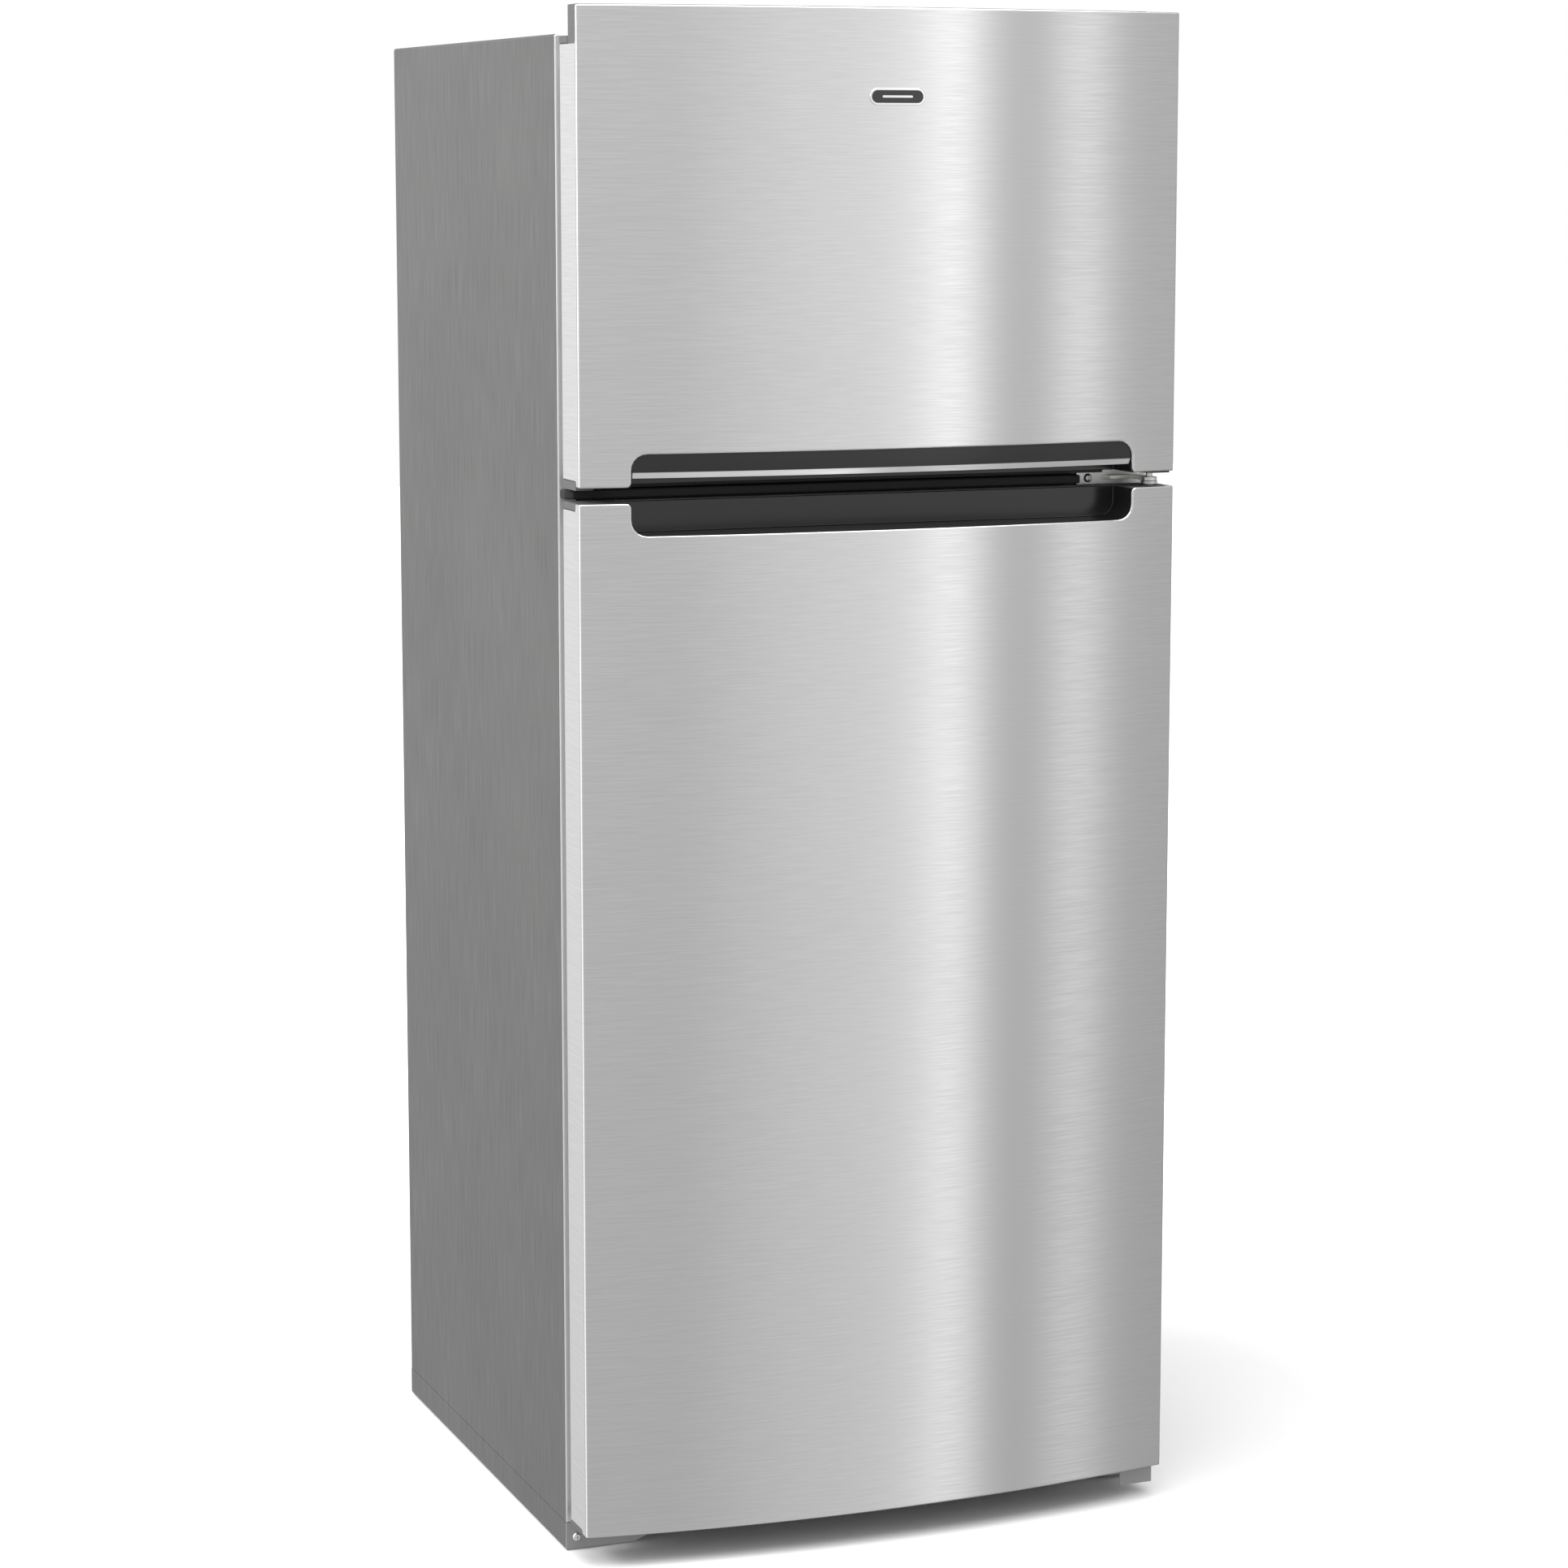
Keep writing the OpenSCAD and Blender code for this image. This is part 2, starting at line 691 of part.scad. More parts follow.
module centre_hinge() {
  z = [split_leaf_z, split_leaf_z + leaf_t];
  color("gainsboro") {
    hinge_arm(z, 0);
    bx([axis_x - 34, axis_x + arm_w / 2], [-16, 0], z);
    difference() {
      bx([axis_x - 70, axis_x + arm_w / 2], [-3, 0], [split_leaf_z - 10, split_leaf_z + 14]);
      bx([axis_x - 71, axis_x - 38], [-3 - clear, clear], [split_leaf_z + 7, split_leaf_z + 15]);
      bar_y(axis_x - 56, [-3 - clear, clear], split_leaf_z + 1, screw_hole_r);
    }
    post(axis_x, -axis_out, [split_bottom - pin_deep, split_top + pin_deep - 4], pin_r);
  }
}

module bottom_hinge() {
  z = [foot_leaf_z, foot_leaf_z + leaf_t];
  color("darkgray") difference() {
    union() {
      bx([axis_x - 26, hw - 4], [-56, 0], z);
      bx([axis_x - 26, hw - 4], [-56, -53], [door_floor - 24, z[1]]);
      bx([axis_x - 72, hw - 3], [0, 3], [6, base_z - strip_gap]);
      bx([axis_x - 60, hw - 4], [2, 52], [base_z - 7, base_z - 4]);
      post(axis_x, -axis_out, [foot_leaf_z, door_floor + pin_deep], pin_r);
    }
    post(leg_x, leg_y, [0, foot_leaf_z - 1], leg_r + leg_play);
    for (x = foot_screw_x) bar_y(x, [-clear, 3 + clear], 15, screw_hole_r);
  }
}

module screw_down(x, y, z) {
  post(x, y, [z, z + 3], 5);
  post(x, y, [z - 3, z + 1], screw_r);
}

module screw_back(x, y, z) {
  bar_y(x, [y - 3, y], z, 5);
  bar_y(x, [y - 1, y + 2.5], z, screw_r);
}

module washer(z) {
  difference() {
    post(axis_x, -axis_out, z, washer_r);
    post(axis_x, -axis_out, [z[0] - clear, z[1] + clear], pin_r + 0.1);
  }
}

module hinge_fasteners() {
  color("gainsboro") {
    for (x = roof_screw_x) screw_down(x, 40, cab_h + roof_leaf_t);
    screw_back(axis_x - 56, -3, split_leaf_z + 1);
    for (x = foot_screw_x) screw_back(x, 0, 15);
    screw_back(-hw + 12, 0, 15);
    washer([split_leaf_z - 4, split_leaf_z - 0.3]);
  }
}

// Feet

module levelling_leg(x) {
  color("#2a2a2a") {
    post(x, leg_y, [0, foot_h], foot_r);
    post(x, leg_y, [foot_h, base_z - 1.5], leg_r);
  }
}

module levelling_leg_left() { levelling_leg(-leg_x); }

module levelling_leg_right() { levelling_leg(leg_x); }

module rear_rollers() {
  color("#2a2a2a") for (s = [-1, 1]) difference() {
    bar_x([s * roller_x - roller_w / 2, s * roller_x + roller_w / 2], roller_y, roller_r, roller_r);
    bar_x([s * roller_x - roller_w, s * roller_x + roller_w], roller_y, roller_r, bore_r);
  }
}

// Machine space

module compressor() {
  half = pump_half;
  color("#161616") {
    translate([pump_x, face_y + pump_y, pump_z]) intersection() {
      sphere(r = pump_r * 1.28);
      cylinder(h = 2 * (pump_top - pump_z), r = pump_r, center = true);
    }
    difference() {
      bx([pump_x - 90, pump_x + 90], [pump_y - 62, pump_y + 62], [pump_z - half + 8, pump_z - half + 13]);
      for (s = [-1, 1], t = [-1, 1]) post(pump_x + 76 * s, pump_y + 48 * t, [0, 60], 5);
    }
    for (s = [-1, 1], t = [-1, 1])
      post(pump_x + 76 * s, pump_y + 48 * t, [tray_z + tray_t, pump_z - half + 16], 5);
    bx([pump_x + pump_r - 6, pump_x + pump_r + 16], [pump_y - 30, pump_y + 30],
       [pump_z - 20, pump_z + 34]);
  }
}

// Rows of tube held by a sheet at each end, with thin fins between
module condenser_coil() {
  rows = 4;
  levels = 6;
  depth = machine_d - 60;
  high = 186;
  low = 44;
  front = machine_y + 24;
  color("#2c2c2c") {
    for (i = [0:rows - 1], k = [0:levels - 1])
      bar_x(coil_x, front + depth * (i + 0.5) / rows, low + high * (k + 0.5) / levels,
            coil_tube_r);
    for (x = [coil_x[0] + 8, coil_x[1] - 9.5])
      bx([x, x + 1.5], [front, front + depth], [low - 14, low + high]);
    for (i = [1:coil_fins - 2])
      bx([coil_x[0] + 15 + coil_pitch * i, coil_x[0] + 15.6 + coil_pitch * i],
         [front + 4, front + depth - 4], [low, low + high]);
  }
}

module condenser_fan_motor() {
  color("#3a3a3a") {
    difference() {
      bx([fan_x, fan_x + 2], [machine_y + 6, cab_d - 6], [tray_z + tray_t, machine_h - 4]);
      bar_x([fan_x - clear, fan_x + 2 + clear], pump_y, fan_z, 72);
      bx([fan_x - clear, fan_x + 2 + clear], [pump_y + 24, pump_y + 36], [line_z - 6, machine_h]);
    }
    bar_x([fan_x + 14, fan_x + 40], pump_y, fan_z, 24);
    bar_x([fan_x - 16, fan_x + 15], pump_y, fan_z, shaft_r);
    bx([fan_x + 1, fan_x + 5], [pump_y - 80, pump_y + 80], [fan_z - 4, fan_z + 4]);
    for (s = [-1, 1])
      bx([fan_x + 2, fan_x + 20], [pump_y + s * 20 - 2, pump_y + s * 20 + 2], [fan_z - 4, fan_z + 4]);
  }
}

module condenser_fan() {
  color("#505050") translate([fan_x, face_y + pump_y, fan_z]) rotate([0, 0, 90])
    translate([0, 2, 0]) fan_wheel(64, 5, 14, 14);
}

module machine_cover() {
  columns = 18;
  wide = hw - rear_flange_w;
  pitch = (2 * wide - 120) / columns;
  gland = [-wide + 34, 196];
  color("gray") difference() {
    bx([-wide, wide], [cab_d - 1.5, cab_d], [tray_z + tray_t + 1, machine_h - 2]);
    for (i = [0:columns - 1], k = [0, 1])
      bx([-wide + 90 + pitch * i, -wide + 96 + pitch * i], [cab_d - 3, cab_d + clear],
         [52 + 92 * k, 124 + 92 * k]);
    bar_y(gland[0], [cab_d - 4, cab_d + clear], gland[1], 9);
  }
}

module cord_gland() {
  at_x = -hw + rear_flange_w + 34;
  at_z = 196;
  color("#1c1c1c") difference() {
    union() {
      bar_y(at_x, [cab_d - 12, cab_d], at_z, 8.8);
      bar_y(at_x, [cab_d - 6, cab_d - 1.5], at_z, 12);
    }
    bar_y(at_x, [cab_d - 20, cab_d + clear], at_z, 4);
  }
}

// A tube that turns only along the axes; its corners are round
module tube_run(points, r) {
  for (i = [0:len(points) - 2]) {
    a = points[i];
    b = points[i + 1];
    d = b - a;
    turn = d[0] != 0 ? [0, 90, 0] : d[1] != 0 ? [-90, 0, 0] : [0, 0, 0];
    start = [min(a[0], b[0]), min(a[1], b[1]), min(a[2], b[2])];
    translate(start + [0, face_y, 0]) rotate(turn) cylinder(h = norm(d), r = r);
  }
  for (i = [1:len(points) - 2]) translate(points[i] + [0, face_y, 0]) sphere(r = r);
}

module refrigerant_lines() {
  top = line_z;
  drop_x = coil_x[0] + 15.3 + 1.5 * coil_pitch;   // midway between two fins
  color("peru") {
    tube_run([[pump_x + 30, pump_y + 30, pump_top], [pump_x + 30, pump_y + 30, top],
              [drop_x, pump_y + 30, top], [drop_x, pump_y + 30, top - 10]], 3.2);
    tube_run([[pump_x - 30, pump_y + 30, pump_top], [pump_x - 30, pump_y + 30, top + 6],
              [-hw + 40, pump_y + 30, top + 6], [-hw + 40, pump_y + 30, 60]], 4);
    tube_run([[-hw + 60, pump_y - 60, 60], [-hw + 60, pump_y - 60, 190]], 9);
  }
}

// Doors

// The outline of a pocket's opening, seen from the front, from the door's edge to its far side
function pocket_outline(edge, far, grow = 0) =
  let (s = far > edge ? 1 : -1, x = pocket_x + grow, r = pocket_r, z = far + s * grow)
  concat([[x, edge - s * 30]],
    [for (p = arc([0, 0], r, 0, 90)) [x - r + p[0], z + s * (p[1] - r)]],
    [for (p = arc([0, 0], r, 90, 180)) [-x + r + p[0], z + s * (p[1] - r)]],
    [[-x, edge - s * 30]]);

module pocket_cut(edge, far, y) {
  xz_prism(pocket_outline(edge, far), y);
}

// Bent steel sheet: the bowed front and the two sides
module door_sheet(z) {
  difference() {
    door_block(0, -seal_gap, z);
    door_block(skin_t, -seal_gap + clear, [z[0] - clear, z[1] + clear]);
  }
}

module side_notch(depth, z) {
  both([hw - 2 * skin_t, hw + clear], [-depth, -seal_gap + clear], z);
}

module freezer_door_skin() {
  color("gainsboro") difference() {
    door_sheet([split_top, door_top]);
    side_notch(cap_notch, [ledge_z - ledge_t, door_top + clear]);
    bx([hw - 2 * skin_t, hw + clear], [-side_front + 3, 0], [ledge_z - ledge_t, door_top + clear]);
    side_notch(cap_notch + 18, [split_top - clear, split_top + notch_h]);
    pocket_cut(split_top, split_top + pocket_h, [-door_front - clear, -seal_gap - 30]);
  }
}

module fridge_door_skin() {
  color("gainsboro") difference() {
    door_sheet([door_floor, split_bottom]);
    side_notch(cap_notch + 15, [split_bottom - notch_h - 2, split_bottom + clear]);
    side_notch(cap_notch + 14, [door_floor - clear, door_floor + foot_notch_h]);
    pocket_cut(split_bottom, split_bottom - pocket_h, [-door_front - clear, -seal_gap - 30]);
  }
}

// The part of a cap that shows in a side notch
module cap_corner(depth, z) {
  both([hw - 20, hw], [-depth, -seal_gap], z);
}

module pin_bore(z) {
  post(axis_x, -axis_out, z, bore_r);
}

module freezer_door_caps() {
  boss_r = 11;
  color("dimgray") {
    difference() {
      union() {
        door_block(skin_t, -seal_gap, [ledge_z - ledge_t - 4, ledge_z]);
        door_block(skin_t, -cap_notch, [ledge_z - ledge_t - 4, door_top - 1]);
        cap_corner(cap_notch, [ledge_z - ledge_t, ledge_z]);
        post(axis_x, -axis_out, [ledge_z - pin_deep - 3, ledge_z], boss_r);
      }
      intersection() {
        door_block(skin_t + 3, -cap_notch - 4, [ledge_z - ledge_t - 5, door_top - 5]);
        bx([-hw, axis_x - notch_r - 4], [-door_front, 0], [0, door_top]);
      }
      bx([axis_x - notch_r, hw + clear], [-side_front - 20, -cap_notch + clear],
         [ledge_z, door_top + clear]);
      pin_bore([ledge_z - pin_deep - 1, ledge_z + clear]);
    }
    difference() {
      union() {
        door_block(skin_t, -seal_gap, [split_top, split_top + cap_t]);
        cap_corner(cap_notch + 18, [split_top - 3, split_top + notch_h]);
        post(axis_x, -axis_out, [split_top - 3, split_top + pin_deep], boss_r);
      }
      bx([-pocket_x - 3, pocket_x + 3], [-door_front - clear, -pocket_back + 3],
         [split_top - 4, split_top + 20]);
      pin_bore([split_top - 4, split_top + pin_deep - 2]);
    }
  }
}

module fridge_door_caps() {
  boss_r = 11;
  color("dimgray") {
    difference() {
      union() {
        door_block(skin_t, -seal_gap, [split_bottom - 0.5 - cap_t, split_bottom - 0.5]);
        cap_corner(cap_notch + 15, [split_bottom - notch_h - 2, split_bottom - 0.5]);
        post(axis_x, -axis_out, [split_bottom - pin_deep - 3, split_bottom - 0.5], boss_r);
      }
      bx([-pocket_x - 3, pocket_x + 3], [-door_front - clear, -pocket_back + 3],
         [split_bottom - 30, split_bottom + clear]);
      pin_bore([split_bottom - pin_deep - 1, split_bottom + clear]);
    }
    difference() {
      union() {
        door_block(skin_t, -seal_gap, [door_floor, door_floor + cap_t]);
        cap_corner(cap_notch + 14, [door_floor, door_floor + foot_notch_h]);
        post(axis_x, -axis_out, [door_floor, door_floor + pin_deep + 4], boss_r);
      }
      pin_bore([door_floor - clear, door_floor + pin_deep + 1]);
    }
  }
}

// A door's insulation, cut back round its caps' bosses and its pocket
module door_foam(z, boss_low, boss_high, pocket) {
  difference() {
    door_block(skin_t, -seal_gap - liner_t, z);
    post(axis_x, -axis_out, boss_low, 12);
    post(axis_x, -axis_out, boss_high, 12);
    bx([-pocket_x - 3, pocket_x + 3], [-door_front - clear, -pocket_back + 3], pocket);
    both([hw - 20, hw], [-cap_notch - 18, 0], [z[0] - clear, z[0] + 8]);
    both([hw - 20, hw], [-cap_notch - 18, 0], [z[1] - 8, z[1] + clear]);
  }
}

module freezer_door_foam() {
  color("khaki")
    door_foam([split_top + cap_t, ledge_z - ledge_t - 4],
              [split_top, split_top + pin_deep + 1], [ledge_z - pin_deep - 4, ledge_z],
              [split_top, split_top + pocket_h + 3]);
}

module fridge_door_foam() {
  color("khaki")
    door_foam([door_floor + cap_t, split_bottom - 0.5 - cap_t],
              [door_floor, door_floor + pin_deep + 5], [split_bottom - pin_deep - 4, split_bottom],
              [split_bottom - pocket_h - 3, split_bottom]);
}

// The formed inner panel: a flat plate with a raised wall that stands in the compartment
module inner_panel(z, x, dyke) {
  bx([-hw + skin_t, hw - skin_t], [-seal_gap - liner_t, -seal_gap], z);
  difference() {
    bx([-x, x], [-seal_gap - 0.5, dyke_reach], dyke);
    bx([-x + dyke_t, x - dyke_t], [-seal_gap - clear, dyke_reach + clear],
       [dyke[0] + dyke_t, dyke[1] - dyke_t]);
  }
}

module freezer_door_liner() {
  color("white")
    inner_panel([split_top + 9, ledge_z - ledge_t - 4], fz_dyke_x, fz_dyke_z);
}

module fridge_door_liner() {
  color("white")
    inner_panel([door_floor + 12, split_bottom - 9], fr_dyke_x, fr_dyke_z);
}

// The freezer pocket: a shell with a grip lip in front of the finger space
module freezer_handle() {
  far = split_top + pocket_h;
  color("#0c0c0c") difference() {
    intersection() {
      door_block(3, -pocket_back + 3, [split_top, far + 3]);
      xz_prism(pocket_outline(split_top, far, 3), [-door_front, 0]);
    }
    intersection() {
      door_block(9, -pocket_back, [split_top - clear, far - 3]);
      pocket_cut(split_top, far - 3, [-door_front, -pocket_back]);
    }
    bx([-pocket_x, pocket_x], [-door_front - clear, -side_front + 16],
       [split_top - clear, far - grip_h]);
  }
}

// The fridge pocket: a tray open to the front and to the gap above it
module fridge_handle() {
  far = split_bottom - pocket_h;
  color("#0c0c0c") difference() {
    intersection() {
      door_block(skin_t + 0.2, -pocket_back + 3, [far - 3, split_bottom - 1.5]);
      xz_prism(pocket_outline(split_bottom, far, 3), [-door_front, 0]);
    }
    pocket_cut(split_bottom, far, [-door_front - clear, -pocket_back]);
  }
}

module gasket(z) {
  wide = 13;
  color("#8c8c8c") difference() {
    bx([-seal_x, seal_x], [-seal_gap, -seal_play], z);
    bx([-seal_x + wide, seal_x - wide], [-seal_gap - clear, 0], [z[0] + wide, z[1] - wide]);
  }
}

module freezer_gasket() { gasket([split_top + 13, cab_h - flange_w - 2]); }

module fridge_gasket() { gasket([base_z + 17, split_bottom - 12]); }

// An open bin that stands off the door's inner panel
module door_bin(x, z, high) {
  difference() {
    bx(x, [-seal_gap + 0.5, bin_back], [z, z + high]);
    bx([x[0] + bin_t, x[1] - bin_t], [-seal_gap + 0.5 + bin_t, bin_back - bin_t],
       [z + bin_t, z + high + clear]);
  }
}

module freezer_door_bins() {
  color("aliceblue", 0.6)
    for (z = fz_bin_z) door_bin([-fz_bin_x, fz_bin_x], z, fz_bin_h);
}

// The dairy box opens toward the food space; its lid hangs between its ends
module dairy_box() {
  z = [fr_bin_z[3], fr_bin_z[3] + dairy_h];
  difference() {
    bx(dairy_x, [-seal_gap + 0.5, bin_back], z);
    bx([dairy_x[0] + bin_t, dairy_x[1] - bin_t], [-seal_gap + 0.5 + bin_t, bin_back + clear],
       [z[0] + bin_t, z[1] - bin_t]);
    bx([dairy_x[0] + bin_t, dairy_x[1] - bin_t], [lid_y - 8, bin_back + clear],
       [z[1] - bin_t - clear, z[1] + clear]);
    bar_x([dairy_x[0] - clear, dairy_x[1] + clear], lid_y, lid_axis_z, lid_pin_r + pin_fit);
  }
}

module fridge_door_bins() {
  color("aliceblue", 0.6) {
    for (i = [0:2]) door_bin([-fr_bin_x, fr_bin_x], fr_bin_z[i], fr_bin_h[i]);
    door_bin([dairy_x[1] + 8, fr_bin_x], fr_bin_z[3], fr_bin_h[3]);
    dairy_box();
  }
}

module dairy_lid() {
  x = [dairy_x[0] + bin_t + lid_gap, dairy_x[1] - bin_t - lid_gap];
  color("aliceblue", 0.6) {
    bx(x, [lid_y - lid_t / 2, lid_y + lid_t / 2], [fr_bin_z[3] + bin_t + 2, lid_axis_z]);
    bar_x([dairy_x[0] + 0.3, dairy_x[1] - 0.3], lid_y, lid_axis_z, lid_pin_r);
  }
}

module badge() {
  z = door_top - 95;
  color("silver") difference() {
    intersection() {
      translate([0, face_y + arc_y, z - 20])
        cylinder(h = 40, r = arc_r + badge_t, $fn = arc_fn);
      xz_prism(rounded([-32, z - 9], [32, z + 9], 9), [-door_front - 4, -side_front]);
    }
    translate([0, face_y + arc_y, z - 30]) cylinder(h = 60, r = arc_r, $fn = arc_fn);
  }
}

cabinet_wrapper();
back_panel();
cabinet_foam();
machine_base();
base_rails();
toe_grille();
foot_bracket();
mullion_rail();
mullion_trim();
freezer_liner();
fridge_liner();
evaporator_cover();
evaporator_coil();
evaporator_fan_motor();
evaporator_fan();
freezer_shelf();
control_housing();
fridge_knob();
freezer_knob();
lamp_cover();
light_switch_plunger();
shelf_frames();
shelf_glass();
crisper_frame();
crisper_left();
crisper_right();
humidity_slider_left();
humidity_slider_right();
deli_drawer();
top_hinge();
top_hinge_cover();
centre_hinge();
bottom_hinge();
hinge_fasteners();
levelling_leg_left();
levelling_leg_right();
rear_rollers();
compressor();
condenser_coil();
condenser_fan_motor();
condenser_fan();
machine_cover();
refrigerant_lines();
cord_gland();
freezer_door_skin();
freezer_door_liner();
freezer_door_foam();
freezer_door_caps();
freezer_handle();
freezer_gasket();
freezer_door_bins();
badge();
fridge_door_skin();
fridge_door_liner();
fridge_door_foam();
fridge_door_caps();
fridge_handle();
fridge_gasket();
fridge_door_bins();
dairy_lid();
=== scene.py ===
"""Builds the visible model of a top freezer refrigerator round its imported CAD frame."""

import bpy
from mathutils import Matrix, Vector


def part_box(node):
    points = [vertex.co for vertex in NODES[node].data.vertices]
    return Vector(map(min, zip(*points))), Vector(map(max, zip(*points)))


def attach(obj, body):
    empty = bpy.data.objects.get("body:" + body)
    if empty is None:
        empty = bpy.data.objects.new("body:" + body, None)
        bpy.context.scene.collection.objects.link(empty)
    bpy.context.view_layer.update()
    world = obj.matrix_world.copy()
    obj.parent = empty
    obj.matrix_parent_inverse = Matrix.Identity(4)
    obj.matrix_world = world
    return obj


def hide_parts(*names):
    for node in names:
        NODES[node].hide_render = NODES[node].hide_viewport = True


bl_info = {
    "name": "Top Freezer Refrigerator",
    "version": (1, 0, 0),
    "blender": (4, 5, 0),
    "location": "3D View > Sidebar > Refrigerator",
    "description": "Bowed steel doors, pocket handles, liners, shelves, bins and machine space",
    "category": "Object",
}

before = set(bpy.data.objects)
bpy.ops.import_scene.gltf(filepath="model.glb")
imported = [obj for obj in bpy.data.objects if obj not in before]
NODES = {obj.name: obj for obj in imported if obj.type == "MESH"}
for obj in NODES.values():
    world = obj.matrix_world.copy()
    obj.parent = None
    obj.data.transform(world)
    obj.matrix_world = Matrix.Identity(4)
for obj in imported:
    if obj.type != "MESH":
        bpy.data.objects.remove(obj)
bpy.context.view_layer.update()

import math

import bmesh
import bpy
from bpy.props import (FloatProperty, FloatVectorProperty, IntProperty,
                       PointerProperty)
from mathutils import Vector
from mathutils.geometry import delaunay_2d_cdt

MM = 0.001
FACE_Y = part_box("cabinet_wrapper")[0].y          # the cabinet's front face
SHARP = 32                                       # degrees at which an edge counts as sharp

CABINET = "cabinet"
FREEZER_DOOR = "freezer_door"
FRIDGE_DOOR = "fridge_door"


# ---------------------------------------------------------------- outlines

def circle(steps):
    """Angles evenly spaced all the way round."""
    return [2 * math.pi * k / steps for k in range(steps)]


def ease(count, start=0.0, end=math.pi / 2):
    """Evenly spaced angles, both ends included."""
    return [start + (end - start) * i / count for i in range(count + 1)]


def rounded_rect(u, v, radius, steps=6):
    """Points of a rectangle with round corners, anticlockwise."""
    radius = max(min(radius, (u[1] - u[0]) / 2.01, (v[1] - v[0]) / 2.01), 1e-5)
    points = []
    for cu, cv, turn in ((u[1] - radius, v[1] - radius, 0), (u[0] + radius, v[1] - radius, 1),
                         (u[0] + radius, v[0] + radius, 2), (u[1] - radius, v[0] + radius, 3)):
        for a in ease(steps, turn * math.pi / 2, (turn + 1) * math.pi / 2):
            points.append((cu + radius * math.cos(a), cv + radius * math.sin(a)))
    return points


def round_corners(corners, steps=5):
    """A closed outline from (u, v, radius) corners, each rounded by its own radius."""
    outline = []
    for i, (u, v, radius) in enumerate(corners):
        here = Vector((u, v))
        before = (Vector(corners[i - 1][:2]) - here).normalized()
        after = (Vector(corners[(i + 1) % len(corners)][:2]) - here).normalized()
        if radius <= 0:
            outline.append(here)
            continue
        half = math.acos(max(-1, min(1, before.dot(after)))) / 2
        centre = here + (before + after).normalized() * (radius / math.sin(half))
        start = here + before * (radius / math.tan(half)) - centre
        end = here + after * (radius / math.tan(half)) - centre
        a0, a1 = math.atan2(start.y, start.x), math.atan2(end.y, end.x)
        turn = (a1 - a0 + math.pi) % (2 * math.pi) - math.pi
        for k in range(steps + 1):
            a = a0 + turn * k / steps
            outline.append(centre + Vector((math.cos(a), math.sin(a))) * radius)
    return outline


class Bow:
    """A door seen from above: straight sides, rolled corners and a front that bows outward.
    Lengths along it are measured from the middle, plus to the right."""

    def __init__(self, node, bulge, corner):
        low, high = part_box(node)
        self.half, self.front, self.back = high.x, low.y, high.y
        self.corner = corner
        self.radius = self.half ** 2 / (2 * bulge) + bulge / 2
        self.centre_y = self.front + self.radius
        self.fillet_y = self.centre_y - math.sqrt((self.radius - corner) ** 2
                                                  - (self.half - corner) ** 2)
        self.angle = math.atan2(self.half - corner, self.centre_y - self.fillet_y)
        self.front_len = self.radius * self.angle
        self.corner_len = corner * (math.pi / 2 - self.angle)
        self.length = self.front_len + self.corner_len + self.back - self.fillet_y

    def at(self, s, depth=0.0):
        """The point at s, depth under the surface, and the outward direction there."""
        side, run = (1 if s >= 0 else -1), abs(s)
        if run <= self.front_len:
            t = run / self.radius
            x, y = self.radius * math.sin(t), self.centre_y - self.radius * math.cos(t)
        elif run <= self.front_len + self.corner_len:
            t = self.angle + (run - self.front_len) / self.corner
            x = self.half - self.corner + self.corner * math.sin(t)
            y = self.fillet_y - self.corner * math.cos(t)
        else:
            t = math.pi / 2
            x, y = self.half, self.fillet_y + run - self.front_len - self.corner_len
        nx, ny = math.sin(t), -math.cos(t)
        return Vector((side * (x - nx * depth), y - ny * depth, 0)), Vector((side * nx, ny, 0))

    def depth(self, point):
        """How far a point in front lies under the bowed surface."""
        return self.radius - math.hypot(point.x, point.y - self.centre_y)

    def across(self, x):
        """The length along the front at a given x."""
        return self.radius * math.asin(max(-1, min(1, x / self.radius)))

    def behind(self, y):
        """The length along the outline at a given y on the right side."""
        return self.front_len + self.corner_len + y - self.fillet_y

    def columns(self, across=44, round_corner=6):
        """Lengths at which a skin is divided: along the front, round a corner, down a side."""
        front = [self.front_len * (2 * i / across - 1) for i in range(across + 1)]
        bend = [self.front_len + self.corner_len * (i + 1) / round_corner
                for i in range(round_corner)]
        side = [self.length - (self.length - bend[-1]) * k for k in (0.66, 0.33)]
        return sorted(front + bend + side + [-s for s in bend + side])


# ---------------------------------------------------------------- forms

